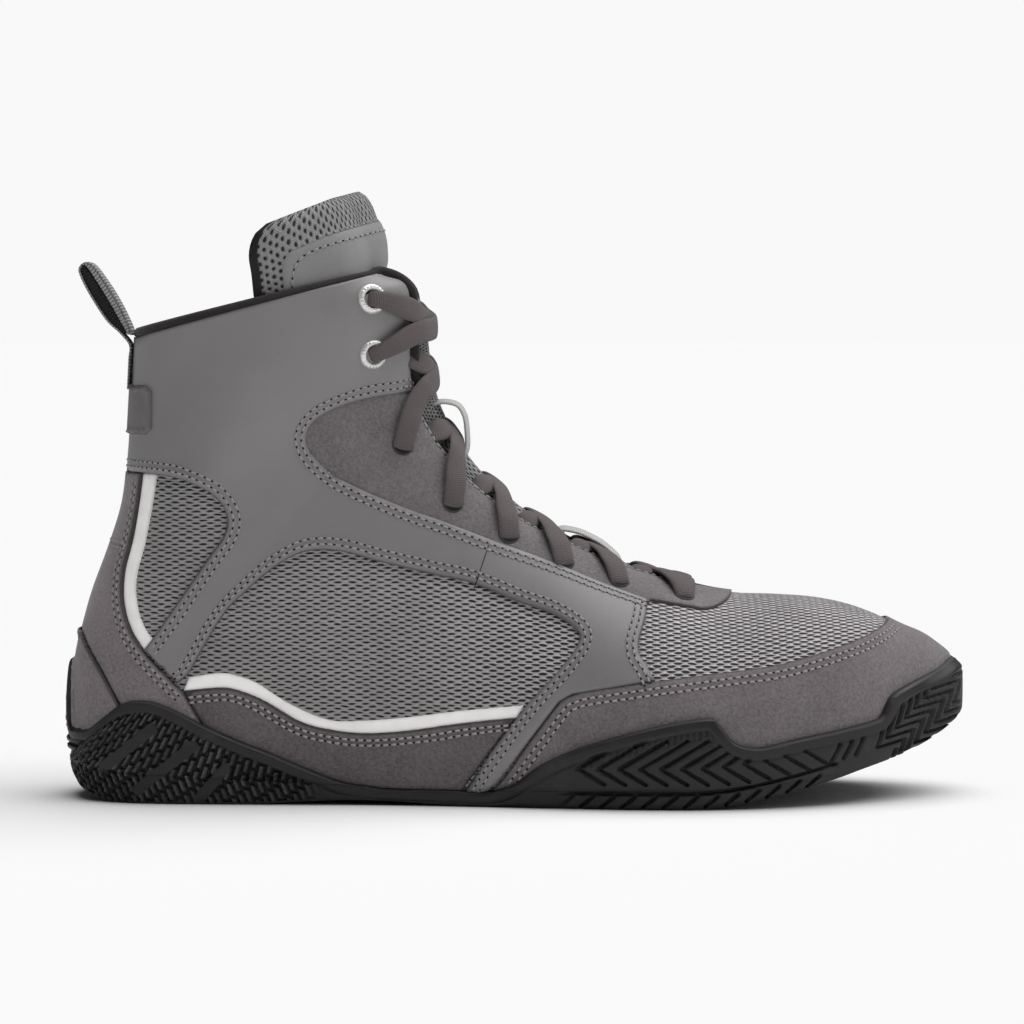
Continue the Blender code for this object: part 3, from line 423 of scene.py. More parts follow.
def step_in(line, by, closed=True):
    """A line on the outer side moved square to itself over the surface, to its left."""
    u, v = line.T
    flat = last(u, v, OUTER)
    way = np.roll(flat, -1, 0) - np.roll(flat, 1, 0) if closed else np.gradient(flat, axis=0)
    left = np.cross(normal_at(u, v, OUTER), way)
    left *= by / np.maximum(np.linalg.norm(left, axis=1, keepdims=True), 1e-9)
    along, across = slopes(u, v, OUTER)
    aa, ab, bb = (np.sum(p * q, 1) for p, q in ((along, along), (along, across), (across, across)))
    la, lb = np.sum(left * along, 1), np.sum(left * across, 1)
    det = np.maximum(aa * bb - ab * ab, 1e-6)
    return np.stack([u + (la * bb - lb * ab) / det, v + (lb * aa - la * ab) / det], 1)


# Sewn pieces

def lattice(pitch):
    """Places spread about evenly over the outer face."""
    spread, row, n = [], 0.0, 0
    while row < COLLAR_ROW:
        along, across = slopes(np.full(9, row), np.linspace(0, 1, 9), OUTER)
        count = int(np.linalg.norm(across, axis=1).mean() / pitch)
        columns = (np.arange(count) + 0.5 * (n % 2) + 0.25) / count
        spread.append(np.stack([np.full(count, row), columns], 1))
        reach = np.linalg.norm(along, axis=1)
        row += 2 * pitch / (reach.mean() + reach.max())
        n += 1
    return np.concatenate(spread)


def on_seam(line):
    """Which corners of an outline lie where the shoe's two halves meet."""
    u, v = line.T
    back = (v < 1e-3) & (u > SEAM_ROW - 0.05)
    ridge_line = (v > 0.999) & (u < THROAT_ROW + 0.05)
    return back | ridge_line | (u < 1e-3)


def spaced(loop):
    """A loop without the corners that crowd the one before them."""
    seen = last(*loop.T, OUTER)
    return loop[np.linalg.norm(seen - np.roll(seen, 1, 0), axis=1) > MIN_STEP]


def outline(points, pitch=0.8):
    """A side-view outline as a loop on the outer face, running with the piece on its left."""
    closed = [*points, points[0]]
    flat = np.concatenate([resample([a, b], pitch) for a, b in zip(closed, closed[1:])])
    loop = spaced(on_skin(flat))
    x, _, z = last(*loop.T, OUTER).T
    turning = np.sum(x * np.roll(z, -1) - z * np.roll(x, -1))
    return loop if turning > 0 else loop[::-1]


def edge_tree(loop, real, face):
    """Look-up of the distance from the cut edge of a piece."""
    cut = real & np.roll(real, -1)
    start, ahead = loop[cut], np.roll(loop, -1, 0)[cut]
    fine = np.concatenate([start + (ahead - start) * k / 5 for k in range(5)])
    return tree_of(face(*fine.T, OUTER, 0 * fine[:, 0]))


ROW_SCALE, COLUMN_SCALE = 10.0, 110.0   # rough millimetres of a section and of a full column


def cut_out(loop, real, pitch, rings, face):
    """Corners and facets of a piece inside its outline, and each corner's distance from the cut."""
    tree = edge_tree(loop, real, face)

    def reach_of(places):
        seen = face(*places.T, OUTER, 0 * places[:, 0])
        return np.array([tree.find(point)[2] for point in seen])

    kept = []
    for ring in rings:
        inner = step_in(loop, ring)[real]
        inner[:, 0] = np.clip(inner[:, 0], 0, COLLAR_ROW)
        inner = inner[inside(loop, inner)]
        kept.append(inner[reach_of(inner) > 0.8 * ring])
    spread = lattice(pitch)
    if loop[:, 1].min() < 0:
        rows = np.unique(spread[:, 0])
        rows = rows[rows < SEAM_ROW]
        low = np.arange(-0.97, 0, 0.055) * SKIRT
        spread = np.concatenate([spread, np.stack(np.meshgrid(rows, low), -1).reshape(-1, 2)])
    spread = spread[inside(loop, spread)]
    kept.append(spread[reach_of(spread) > rings[-1] + 0.35 * pitch])
    scale = np.array([ROW_SCALE, COLUMN_SCALE])
    places = np.concatenate([loop, *kept]) * scale
    count = len(loop)
    rim = [(k, (k + 1) % count) for k in range(count)]
    found = delaunay_2d_cdt([Vector(place) for place in places], rim, [], 1, 1e-4)
    corners = np.array([point[:] for point in found[0]]) / scale
    return corners, found[2], reach_of(corners)


def sewn(name, loop, finish, nodes, high, rim=0.55, pitch=1.5, sides=SIDES, low=-TUCK,
         face=skin, relief=None, real=None, rings=(0.15, 0.45), values=()):
    """A piece cut to an outline and laid on the upper, with a rounded cut edge."""
    real = ~on_seam(loop) if real is None else real
    corners, facets, reach = cut_out(loop, real, pitch, rings, face)
    share = np.clip(reach / rim, 0, 1)
    lift = low + (high - low) * np.sqrt(1 - (1 - share) ** 2)
    carved = relief(corners, reach) * share if relief else 0 * reach
    kept = {"edge": reach, "sunk": -carved}
    kept.update((label, rule(corners, reach)) for label, rule in dict(values).items())
    bm = bmesh.new()
    layers = [bm.verts.layers.float.new(label) for label in kept]
    for side in sides:
        verts = []
        for point, row in zip(face(*corners.T, side, lift + carved), zip(*kept.values())):
            vert = bm.verts.new(point)
            for layer, value in zip(layers, row):
                vert[layer] = value
            verts.append(vert)
        for facet in facets:
            bm.faces.new([verts[k] for k in (facet if side == INNER else facet[::-1])])
    return make_piece(name, bm, [finish], nodes)


def thread_line(bm, path, ups, pitch=STITCH_PITCH):
    """A row of stitches along a path: bent thread, and a needle hole where two stitches meet, a flat disc
    of painted shade.
    """
    run = run_of(path)
    turns = np.arange(6) * math.pi / 3
    steps, bow, full = np.array(STITCH_BEND).T
    for n in range(int(run[-1] / pitch)):
        at = (n + 0.5) * pitch + steps * STITCH_LONG * pitch
        spots, up = read_line(path, run, at), unit(read_line(ups, run, at[2]))
        way = unit(spots[-1] - spots[0])
        across = np.cross(way, up)
        spokes = np.cos(turns)[:, None] * across + np.sin(turns)[:, None] * up * 0.8
        rings = [[bm.verts.new(centre + spoke * STITCH_THICK * size) for spoke in spokes]
                 for centre, size in zip(spots + up * bow[:, None], full)]
        for a, b in zip(rings, rings[1:]):
            for k in range(6):
                bm.faces.new((a[k], a[k - 1], b[k - 1], b[k]))
        bm.faces.new(rings[0])
        bm.faces.new(rings[-1][::-1])
        centre = read_line(path, run, n * pitch) + up * 0.06
        hole = np.cos(turns)[:, None] * way * 0.46 + np.sin(turns)[:, None] * across * 0.32
        pit = bm.faces.new([bm.verts.new(centre + spot) for spot in hole])
        pit.normal_update()
        if pit.normal.dot(Vector(up)) < 0:
            pit.normal_flip()
        # The needle hole takes the second finish: painted shade.
        pit.material_index = 1


def stitching(name, edges, finishes, lift, rows=STITCH_ROWS, pitch=STITCH_PITCH):
    """Rows of stitches inside cut edges. Each edge is a side-view line with its piece on its left."""
    bm = bmesh.new()
    for edge in edges:
        line = on_skin(rounded(edge, 1.2))
        seam = on_seam(line)
        line = line[~seam] if (~seam).sum() > 3 else line
        for row in rows:
            inner = step_in(line, row, closed=False) if row else line
            u, v = np.clip(inner, (0, 0), (COLLAR_ROW, 1)).T
            for side in SIDES:
                thread_line(bm, skin(u, v, side, lift), normal_at(u, v, side), pitch)
    return make_piece(name, bm, finishes, (), merge=False)


def curve(points):
    """A drawn line, smoothed for an outline but kept to its ends."""
    return rounded(points, 1.0).tolist()


def net_map(a, b):
    """Run of the net's threads: along the shoe, and round the vamp or up the shaft."""
    u = a * COLLAR_ROW
    seen = last(u, b, OUTER)
    steps = np.linspace(0, 1, 41)
    girth = np.zeros(len(u))
    for low, high in zip(steps, steps[1:]):
        far, near = last(u, np.clip(b, low, high), OUTER), last(u, np.full_like(u, low), OUTER)
        girth += np.linalg.norm(far - near, axis=1)
    girth += last(u, 0 * u, OUTER)[:, 2]
    shaft = smooth(*SHAFT_ROWS, u)
    return np.stack([seen[:, 0], girth * (1 - shaft) + seen[:, 2] * shaft], 1)


def upper_wall(finishes):
    """The lasted wall of net, foam and lining, open at collar, throat and sole."""
    bm = bmesh.new()
    for side in SIDES:
        def place(a, b):
            return skin(a * COLLAR_ROW, b, side)
        drape(bm, 270, 84, place, flip=side == OUTER, cloth=net_map)
    upper = make_piece("upper_wall", bm, finishes, ["upper"])
    mesh = upper.data
    places = np.zeros(len(mesh.vertices) * 3)
    mesh.vertices.foreach_get("co", places)
    ahead = mesh.attributes.new("vamp", "FLOAT", "POINT")
    ahead.data.foreach_set("value", smooth(*VAMP_FADE, places[::3] / MM).astype(np.float32))
    wall = upper.modifiers.new("wall", "SOLIDIFY")
    wall.thickness = WALL * MM
    wall.offset = -1
    wall.material_offset = 1
    wall.material_offset_rim = 1
    return upper


# Sole

def sole_face(u, v, side, out):
    """The sole's side: outside the upper, and from the feather edge down to the tread."""
    u, v = np.broadcast_arrays(np.asarray(u, float), np.asarray(v, float))
    out = np.broadcast_to(np.asarray(out, float), u.shape)
    edge = last(u, 0, side)
    run = last(np.minimum(u + 0.1, SEAM_ROW), 0, side) - last(np.maximum(u - 0.1, 0), 0, side)
    away = unit(np.stack([run[..., 1], -run[..., 0]], -1) * side)
    away = np.where((u < 0.02)[..., None], (1.0, 0.0), away)
    away = np.where((u > SEAM_ROW - 0.02)[..., None], (-1.0, 0.0), away)
    flat = np.concatenate([away, 0 * away[..., :1]], -1)
    level, bend = np.maximum(v, 0), 0.16
    wall = normal_at(u, np.maximum(level, bend), side)
    way = flat + (wall - flat) * smooth(0, bend, level)[..., None]
    heel = normal_at(np.maximum(u, SEAM_ROW), level, side)
    way = unit(way + (heel - way) * smooth(SEAM_ROW - 0.7, SEAM_ROW, u)[..., None])
    over = last(u, level, side) + way * out[..., None]
    under = np.clip(-v / SKIRT, 0, 1)
    tuck = 0.6 + 0.9 * smooth(0.7, 1, under)
    foot = edge[..., :2] + away * (out - tuck)[..., None]
    foot = np.concatenate([foot, tread(foot[..., 0])[..., None]], -1)
    return over + (foot - over) * under[..., None]


def line_gap(points, lines):
    """Distance of side-view points from the nearest of the lines."""
    nearest = np.full(len(points), 99.0)
    for line in lines:
        for a, b in zip(np.array(line, float), np.array(line[1:], float)):
            along = b - a
            share = np.clip(((points - a) @ along) / (along @ along), 0, 1)
            nearest = np.minimum(nearest, np.linalg.norm(points - a - share[:, None] * along, axis=1))
    return nearest


def tread_grooves():
    """Side view of the grooves cut in the forefoot and the toe bumper."""
    lines = []
    for n in range(-3, 10):
        x = 32.8 + CHEVRON_PITCH * n
        foot = float(tread(x))
        z = 13.3 + 0.85 * foot
        up, down = 15 if x < 60 else 7, 8.4
        if x > 18:
            lines.append([(x + up, z + up * CHEVRON_FALL), (x, z), (x + down, z - down * CHEVRON_FALL)])
        if x < 96:
            lines.append([(x + 1, foot + 0.8), (x + 5.2, foot + 4.4)])
    floor = np.linspace(4, 102, 25)
    lines.append(np.stack([floor, tread(floor) + 5.2], 1).tolist())
    lines += TOE_CUTS
    steps = np.array(TOE_STEPS)
    lines.append((steps[2:] + (115.1, 22.2)).tolist())
    for n in range(-1, 7):
        lines.append((steps + (121.5 + 3.2 * n, 28 + 2.9 * n)).tolist())
    return lines


def sole_seen(corners):
    """Side view of places on the rubber's plain side."""
    return sole_face(*corners.T, OUTER, np.full(len(corners), SOLE_THICK))[:, ::2]


def way_round(corners, reach=None):
    """Way along the foot of the rubber's side from the middle of the heel."""
    rows = np.linspace(SEAM_ROW, 0, 500)
    foot = sole_face(rows, np.full(500, -SKIRT / 2), OUTER, np.full(500, SOLE_THICK))[:, :2]
    return np.interp(corners[:, 0], rows[::-1], run_of(foot)[::-1])


def heel_field(corners, reach):
    """Where the heel's side carries small lugs: all but its rim, its smooth bars and its foot."""
    seen = sole_seen(corners)
    x, z = seen.T
    bar = 1 - smooth(1.9, 2.15, line_gap(seen, HEEL_BARS))
    above_foot, below_rim = smooth(0.6, 1.2, z - tread(x)), smooth(RIM + 0.4, RIM + 0.9, reach)
    return (1 - bar) * (1 - smooth(-70, -60, x)) * above_foot * below_rim


def heel_lugs(run, z):
    """Small upright heel lugs, uneven from column to column: 1 on their tops and 0 between them."""
    column = (run + LUG_LEAN * z) / LUG_WIDE
    number = np.floor(column)
    tall = (z + LUG_RISE * run) / LUG_TALL + number * LUG_SHIFT % 1
    aside = np.abs(column - number - 0.5) * LUG_WIDE
    upright = np.abs(tall - np.floor(tall) - 0.5) * LUG_TALL
    return (1 - smooth(*LUG_SIDE, aside)) * (1 - smooth(*LUG_END, upright))


def sole_relief(corners, reach):
    """Height of the rubber's side over its plain form: rim, grooves, heel bars and small heel lugs."""
    seen = sole_seen(corners)
    x, z = seen.T
    field = smooth(RIM + 0.2, RIM + 0.8, reach)
    step = -0.45 * np.exp(-((reach - RIM - 0.5) / 0.42) ** 2)
    groove = 1 - smooth(0.36, 0.66, line_gap(seen, tread_grooves()))
    forefoot = between(x, 12, 20, 143, 145)
    ribs = between(x, 20, 24, 60, 63) * (1 - smooth(RIM + 2.8, RIM + 3.2, reach))
    rib = 0.4 * smooth(0.1, 0.6, np.cos(2 * math.pi * x / RIB_PITCH))
    gap = heel_field(corners, reach) * (1 - heel_lugs(way_round(corners), z))
    pattern = -GROOVE_DEEP * groove * forefoot - LUG_DEEP * gap - rib * ribs
    toe_cap = smooth(128, 141, x) * (1.3 * smooth(0.6, 4, reach) - 1.2 * (1 - smooth(0, 3, reach)))
    return step + field * pattern + toe_cap


def outsole(rubber):
    """Rubber cup: its side with rim, lugs and toe bumper, and the tread under it."""
    drawn = resample(curve(SOLE_TOP[::-1]), 0.7)
    top = on_skin(drawn)
    feather = last(top[:, 0], 0, OUTER)
    drop = np.clip((feather[:, 2] - drawn[:, 1]) / (feather[:, 2] - tread(feather[:, 0])), 0, 0.5)
    below_edge = (top[:, 1] < 1e-3) & (top[:, 0] < SEAM_ROW - 1)
    top[:, 1] = np.where(below_edge, -SKIRT * drop, top[:, 1])
    top = spaced(top)
    heel = np.linspace(top[-1, 0], SEAM_ROW, 40)
    turn = np.linspace(0, -SKIRT, 12)
    foot = np.linspace(SEAM_ROW, 0, 420)
    toe = np.linspace(-SKIRT, top[0, 1], 40)
    loop = np.concatenate([
        top, np.stack([heel, 0 * heel], 1)[1:], np.stack([0 * turn + SEAM_ROW, turn], 1)[1:],
        np.stack([foot, 0 * foot - SKIRT], 1)[1:], np.stack([0 * toe, toe], 1)[1:-1]])
    real = np.arange(len(loop)) < len(top)
    wall = sewn("outsole_wall", loop, rubber, ["outsole"], high=SOLE_THICK, rim=1.1,
                pitch=0.47, low=-0.1, face=sole_face, relief=sole_relief, real=real,
                rings=(0.12, 0.35, 0.7, 1.1), values={"lugs": heel_field, "run": way_round})
    bm = bmesh.new()

    def tread_face(a, b):
        near, far = (sole_face(a * SEAM_ROW, np.full_like(a, -SKIRT), side, SOLE_THICK) for side in SIDES)
        flat = near + (far - near) * b[:, None]
        flat[:, 2] = tread(flat[:, 0]) + 0.35 * np.abs(2 * b - 1) ** 6
        return flat

    drape(bm, 300, 40, tread_face, (290, 90))
    make_piece("outsole_tread", bm, [rubber], ())
    return wall


def footbed(foam):
    """Flat insole, rounded along its edge."""
    bm = bmesh.new()
    clear, high = WALL + 0.6, 4.0
    for top in (True, False):
        def face(a, b):
            u = 0.6 + a * (SEAM_ROW - 0.8)
            near, far = (last(u, 0, side) for side in SIDES)
            width = np.linalg.norm(far - near, axis=1)
            inset = np.minimum(clear / np.maximum(width, 1), 0.45)
            share = inset + (1 - 2 * inset) * b
            flat = near + (far - near) * share[:, None]
            crown = np.sqrt(np.clip(1 - np.abs(2 * b - 1) ** 10, 0, 1))
            crown *= np.sqrt(np.clip(1 - np.abs(2 * a - 1) ** 24, 0, 1))
            flat[:, 2] += 0.3 + high * 0.5 + (0.5 if top else -0.5) * high * crown
            return flat
        drape(bm, 120, 30, face, (250, 80), flip=not top)
    return make_piece("footbed", bm, [foam], ["insole"], solid=True)


# Tongue, collar and trim

def wing(u):
    """Column where the tongue's wing ends: narrow on the vamp, wide at the ankle, round at the top."""
    corner = np.clip((u - WING_ROUND) / (TOP_ROW - WING_ROUND), 0, 1)
    low = np.interp(u, [9, 12, 20, 26, 29, 30, TOP_ROW], [0.84, 0.8, 0.74, 0.64, 0.52, 0.5, 0.5])
    return low + 0.075 * (1 - np.sqrt(1 - corner ** 2))


def rise(u):
    """How far the tongue bulges through the throat, above the throat's edges."""
    return np.interp(u, [10, 10.8, 12, 15, 19, 22, 26, 27.5, 28.8, 29.6, 30.4, 31, TOP_ROW],
                     [-3.4, -2.6, 0.6, 3.2, 6.9, 8.4, 6.6, 4.4, 1.2, 0.8, 3.6, 4.6, 4.0])


def ridge(u, out):
    """Point on the middle of the throat, out from the line of its edges."""
    ahead, behind = np.minimum(u + 0.05, TOP_ROW), np.maximum(u - 0.05, 0)
    way = (last(ahead, 1, INNER) - last(behind, 1, INNER)) * np.array([1, 0, 1])
    normal = np.array([way[2], 0, -way[0]]) / np.linalg.norm(way)
    return (last(u, 1, INNER) + last(u, 1, OUTER)) / 2 + normal * out


def tongue_row(u, out, across):
    """One row across the tongue, wing to wing, at a height above its underside."""
    sink = -WALL - TONGUE_SINK - TONGUE
    columns = np.linspace(wing(u), 0.9, 4)
    half = [skin(np.full(4, u), columns, side, sink) for side in SIDES]
    crown = ridge(u, rise(u) - TONGUE)
    even = float(smooth(28.5, 30.5, u))
    blends = np.array([(0.42 * even, 0.36, 0.42 * even), (0.6 + 0.23 * even, 0.66, 0.6 + 0.23 * even)])
    left, right = ([edge[-1] + (crown - edge[-1]) * blend for blend in blends] for edge in half)
    row = spline([*half[0], *left, crown, *right[::-1], *half[1][::-1]], (across + 1) / 2 * 12)
    ahead = ridge(min(u + 0.1, TOP_ROW), 0) - ridge(max(u - 0.1, 0), 0)
    return row + unit(np.cross(np.gradient(row, axis=0), ahead)) * out[:, None]


def panel_stitches(finishes):
    """One row of stitches inside the edge of the tongue's panel."""
    inset, out = 11.7, TONGUE + 1.5

    def at_edge(u, across):
        return run_of(tongue_row(u, np.zeros(61), np.linspace(-1, across, 61)))[-1]

    def other_gap(gap):
        return (inset ** -3 - gap ** -3) ** (-1 / 3)

    def spot(u, across):
        near = np.clip(np.array([-0.02, 0, 0.02]) + across, -1, 1)
        low, high = (tongue_row(u, np.full(3, lift), near)[1] for lift in (0.0, out))
        return high, high - low

    places = []
    corner = TOP_ROW - 1.26 * inset / TOP_STEP
    shares = np.linspace(-0.98, -0.3, 60)[::6]
    for u in np.linspace(27.2, corner, 40):
        run = [at_edge(u, share) for share in shares]
        places.append((u, float(np.interp(other_gap((TOP_ROW - u) * TOP_STEP), run, shares))))
    for across in np.linspace(places[-1][1], 0, 36)[1:]:
        places.append((TOP_ROW - other_gap(at_edge(corner, across)) / TOP_STEP, across))
    places += [(u, -across) for u, across in places[-2::-1]]
    path, ups = (np.array(rows) for rows in zip(*(spot(u, across) for u, across in places)))
    bm = bmesh.new()
    thread_line(bm, path, ups, 2.9)
    return make_piece("panel_stitches", bm, finishes, (), merge=False)


def tongue(finishes):
    """Padded tongue: face and lining that meet in a rounded edge, with a raised panel at the top."""
    bm = bmesh.new()
    gap_layer, high_layer = (bm.verts.layers.float.new(label) for label in ("turned", "panel"))
    for top in (True, False):
        border, panel = [], []

        def face(a, b):
            points, gaps, highs = np.zeros((len(a), 3)), np.zeros(len(a)), np.zeros(len(a))
            for share in np.unique(a):
                here = np.flatnonzero(a == share)
                here = here[np.argsort(b[here])]
                u, across = TONGUE_START + share * (TOP_ROW - TONGUE_START), 2 * b[here] - 1
                tip = np.clip((u - TIP_ROUND) / (TOP_ROW - TIP_ROUND), 0, 1)
                body = np.sqrt(np.clip(1 - np.abs(across) ** 22, 0, 1)) * math.sqrt(max(1 - tip ** 6, 0))
                run = run_of(tongue_row(u, np.zeros(len(here)), across))
                side_gap = np.minimum(run, run[-1] - run) + 0.01
                top_gap = (TOP_ROW - u) * TOP_STEP + 0.01
                gap = (side_gap ** -3 + top_gap ** -3) ** (-1 / 3)
                raised = smooth(9.0, 9.9, gap) * smooth(25.5, 27, u)
                puff = 0.7 * smooth(0.5, 5, gap) * smooth(26, 29, u) + 0.8 * raised
                out = TONGUE / 2 + (TONGUE / 2 + puff if top else -TONGUE / 2) * body
                points[here], gaps[here], highs[here] = tongue_row(u, out, across), side_gap, raised
            border.extend(gaps)
            panel.extend(highs)
            return points

        verts = drape(bm, 190, 150, face, (210, 130), flip=top, finish=0 if top else 1)
        for vert, gap, high in zip(verts, border, panel):
            vert[gap_layer] = gap
            vert[high_layer] = high
    piece = make_piece("tongue", bm, finishes, ["tongue"])
    return piece


def tube(bm, path, ups, profile, finish=0):
    """A long piece along a path. The profile's rows are across and up, round once."""
    path, ups, profile = (np.asarray(rows, float) for rows in (path, ups, profile))
    way = unit(np.gradient(path, axis=0))
    across = unit(np.cross(way, ups))
    up = np.cross(across, way)
    count = profile.shape[-2]

    def place(a, b):
        i, j = np.rint(a * (len(path) - 1)).astype(int), np.rint(b * count).astype(int) % count
        shape = profile[i, j] if profile.ndim == 3 else profile[j]
        return path[i] + across[i] * shape[:, :1] + up[i] * shape[:, 1:]

    size = (run_of(path)[-1], run_of(profile.reshape(-1, count, 2)[0])[-1])
    verts = drape(bm, len(path) - 1, count, place, size, flip=True, finish=finish)
    bm.verts.index_update()
    verts = sorted(verts, key=lambda vert: vert.index)
    for ring in (verts[0::len(path)], verts[len(path) - 1::len(path)]):
        bm.faces.new(ring[:-1]).material_index = finish


def oval(wide, thick, count=16, square=3.0):
    """Rounded flat section of a lace or webbing."""
    turn = np.arange(count) * 2 * math.pi / count
    bulge = [np.sign(f(turn)) * np.abs(f(turn)) ** (2 / square) for f in (np.cos, np.sin)]
    return np.stack([bulge[0] * wide / 2, bulge[1] * thick / 2], 1)


HOLE_PLACES = on_skin(LACE_HOLES)


def lace_strand(bm, start, end, side, dive, lay):
    """A crossing of the lace: out of one hole, over the tongue, and into or under the far side."""
    (u0, v0), (u1, v1) = HOLE_PLACES[start], HOLE_PLACES[end]
    seat = PANEL + 0.35 + LACE_THICK / 2 + lay
    under = -WALL - LACE_THICK / 2 - 0.1
    sag, clear = (1.0, 2.0) if end == 0 else (0.0, -0.3)   # of the bow over the tongue
    dip, dip_share = 1.4, 0.16                             # toward a hole
    deep, high = -1.2, 0.9                                 # ends of the turn into a hole
    path, ups, narrow = [], [], []
    for share in np.linspace(0.03, 0.8 if dive else 0.97, 44):
        u = u0 + (u1 - u0) * share - sag * math.sin(math.pi * share)
        here = side if share < 0.5 else -side
        reach = min(2 * share, 2 - 2 * share)
        edge, hole = (v0, start) if share < 0.5 else (v1, end)
        column = edge + (1 - edge) * min(reach / 0.6, 1)
        up = seat + OVER_RING * (hole < EYELETS)
        if dive and share > 0.5:
            up = under + (up - under) * float(smooth(0.5, 0.78, reach))
        elif reach < dip_share:
            up -= (dip_share - reach) / dip_share * dip
        on_wall = skin(u, column, here, up)
        bow = ridge(u, max(rise(u), PANEL) + clear + LACE_THICK / 2 + lay)
        over = float(smooth(0.3, 1, reach))
        path.append(on_wall + (bow - on_wall) * np.array([over, max(reach - 0.6, 0) / 0.4, over]))
        ups.append(normal_at(u, column, here) * (1 - over) + unit(bow - ridge(u, 0)) * over)
        narrow.append(0 if dive and share > 0.5 else max(1 - reach / 0.3, 0))
    tips = [(start, side, 0)] + ([] if dive else [(end, -side, -1)])
    for hole, here, tip in tips:
        u, v = HOLE_PLACES[hole]
        up = normal_at(u, v, here)
        toward = path[tip] - skin(u, v, here, high)
        back = unit(toward - up * (toward @ up)) * (0.4 if hole < EYELETS else 1.0)
        mouth = [skin(u, v, here, out) - back for out in (deep, high + OVER_RING * (hole < EYELETS))]
        lean = up - unit(path[tip] - mouth[1])
        lean = [lean, lean * 0.5 + up * 0.5]
        if tip == 0:
            path, ups, narrow = mouth + path, lean + ups, [1, 1] + narrow
        else:
            path, ups, narrow = path + mouth[::-1], ups + lean[::-1], narrow + [1, 1]
    run = run_of(path)
    at = np.linspace(0, run[-1], int(run[-1] / LACE_STEP))
    path, ups = (read_line(rows, run, at) for rows in (path, ups))
    shape = oval(LACE_WIDE, LACE_THICK, 18, 2.5)
    pinch = 0.3 if start < EYELETS else 0.12
    profile = [shape * (1 - pinch * k, 1 + 0.5 * k) for k in np.interp(at, run, narrow)]
    tube(bm, eased(path, 4), ups, profile)


def lace(finish):
    """The criss-cross of the lace and the bar across its lowest holes."""
    bm = bmesh.new()
    lowest = len(LACE_HOLES) - 1
    for k in range(lowest):
        lace_strand(bm, k + 1, k, OUTER, k > 0, 0.6)
        lace_strand(bm, k + 1, k, INNER, k > 0, 0.0)
    lace_strand(bm, lowest, lowest, OUTER, False, 0.3)
    return make_piece("lace", bm, [finish], ["lace"], solid=True)


def ring_on(bm, centre, up, section, finish=0, count=40, teeth=0):
    """A ring round a direction. The section's rows are radius and height, from its inner foot."""
    first = unit(np.cross(up, (0, 0, 1)))
    second = np.cross(up, first)
    at = np.linspace(0, len(section) - 1, 4 * len(section))
    section = spline(section, at)

    def place(a, b):
        turn = 2 * math.pi * a
        r, h = (np.interp(b * (len(at) - 1), np.arange(len(at)), section[:, k]) for k in range(2))
        h = h * (1 + 0.08 * np.cos(teeth * turn)) if teeth else h
        spoke = np.cos(turn)[:, None] * first + np.sin(turn)[:, None] * second
        return centre + spoke * r[:, None] + up * h[:, None]

    drape(bm, count, len(at) - 1, place, flip=True, finish=finish)


def hole_trim(metal, suede, pit):
    """Metal rings in the two top pairs of holes, and the punched holes below them, with a flat disc of
    painted shade in every hole.
    """
    for k, (u, v) in enumerate(HOLE_PLACES[:EYELETS]):
        for side, word in zip(SIDES, ("lateral", "medial")):
            name = f"eyelet_{word}_{k + 1}"
            bm = bmesh.new()
            up = normal_at(u, v, side)
            centre = skin(u, v, side, PANEL + 0.15)
            ring_on(bm, centre, up, EYELET_SECTION, 0, 88, 22)
            # A flat disc of painted shade fills the ring's hole.
            ring_on(bm, centre, up, [(0, -0.02), (1.5, -0.02), (EYELET_HOLE, -0.02)], 1, 24)
            make_piece(name, bm, [metal, pit], [name])
    bm = bmesh.new()
    for u, v in HOLE_PLACES[EYELETS:]:
        for side in SIDES:
            up = normal_at(u, v, side)
            centre = skin(u, v, side, PANEL)
            # A flat disc of painted shade in each punched hole.
            ring_on(bm, centre, up, [(0, 0.12), (1.5, 0.12), (2.9, 0.12), (3.1, 0)], 1, 24)
            ring_on(bm, centre, up, [(2.95, 0), (3.1, 0.16), (3.3, 0.1), (3.6, -0.1)], 0, 24)
    make_piece("punched_holes", bm, [suede, pit], ())


def collar_roll(finish):
    """Padded roll along the collar and down both edges of the throat."""
    middle = -WALL / 2
    low, high = 20.3, 29.3   # rows of the throat's edges
    path = []                # point on an edge, direction out of it, size, share of it past the edge
    for side, order in ((OUTER, 1), (INNER, -1)):
        leg = []
        for u in np.linspace(low, high, 16):
            proud = 1.7 * float(smooth(low, low + 1.3, u))
            edge = skin(u, 1, side, proud)
            leg.append((edge, edge - skin(u, 0.97, side, proud), 1.8, 0.75))
        corner = skin(COLLAR_ROW, 1, side, 1.0)
        leg.append((corner, corner - skin(COLLAR_ROW - 0.3, 0.97, side, 1.0), 1.7, 0.5))
        for v in np.linspace(0.93, 0.06 if order < 0 else 0.0, 24):
            edge = skin(COLLAR_ROW, v, side, middle)
            away = edge - skin(COLLAR_ROW - 0.2, v, side, middle)
            leg.append((edge, away, 1.4 + 0.6 * (1 - v), 0.35 - 0.2 * math.sin(math.pi * v)))
        path += leg[::order]
    edges, away, size, proud = (np.array(rows) for rows in zip(*path))
    away = unit(away)
    centres = edges + away * (size * proud)[:, None]
    run = run_of(centres)
    at = np.linspace(0, run[-1], int(run[-1] / 1.4))
    centres, away = (read_line(rows, run, at) for rows in (centres, away))
    size = np.interp(at, run, size)
    taper = np.linspace(0.2, 1, 8)
    size[:8] *= taper
    size[-8:] *= taper[::-1]
    bm = bmesh.new()
    tube(bm, eased(centres, 3), away, [oval(2.5 * r, 2 * r, 14, 2.2) for r in size])
    return make_piece("collar_binding", bm, [finish], ["collar_binding"], solid=True)


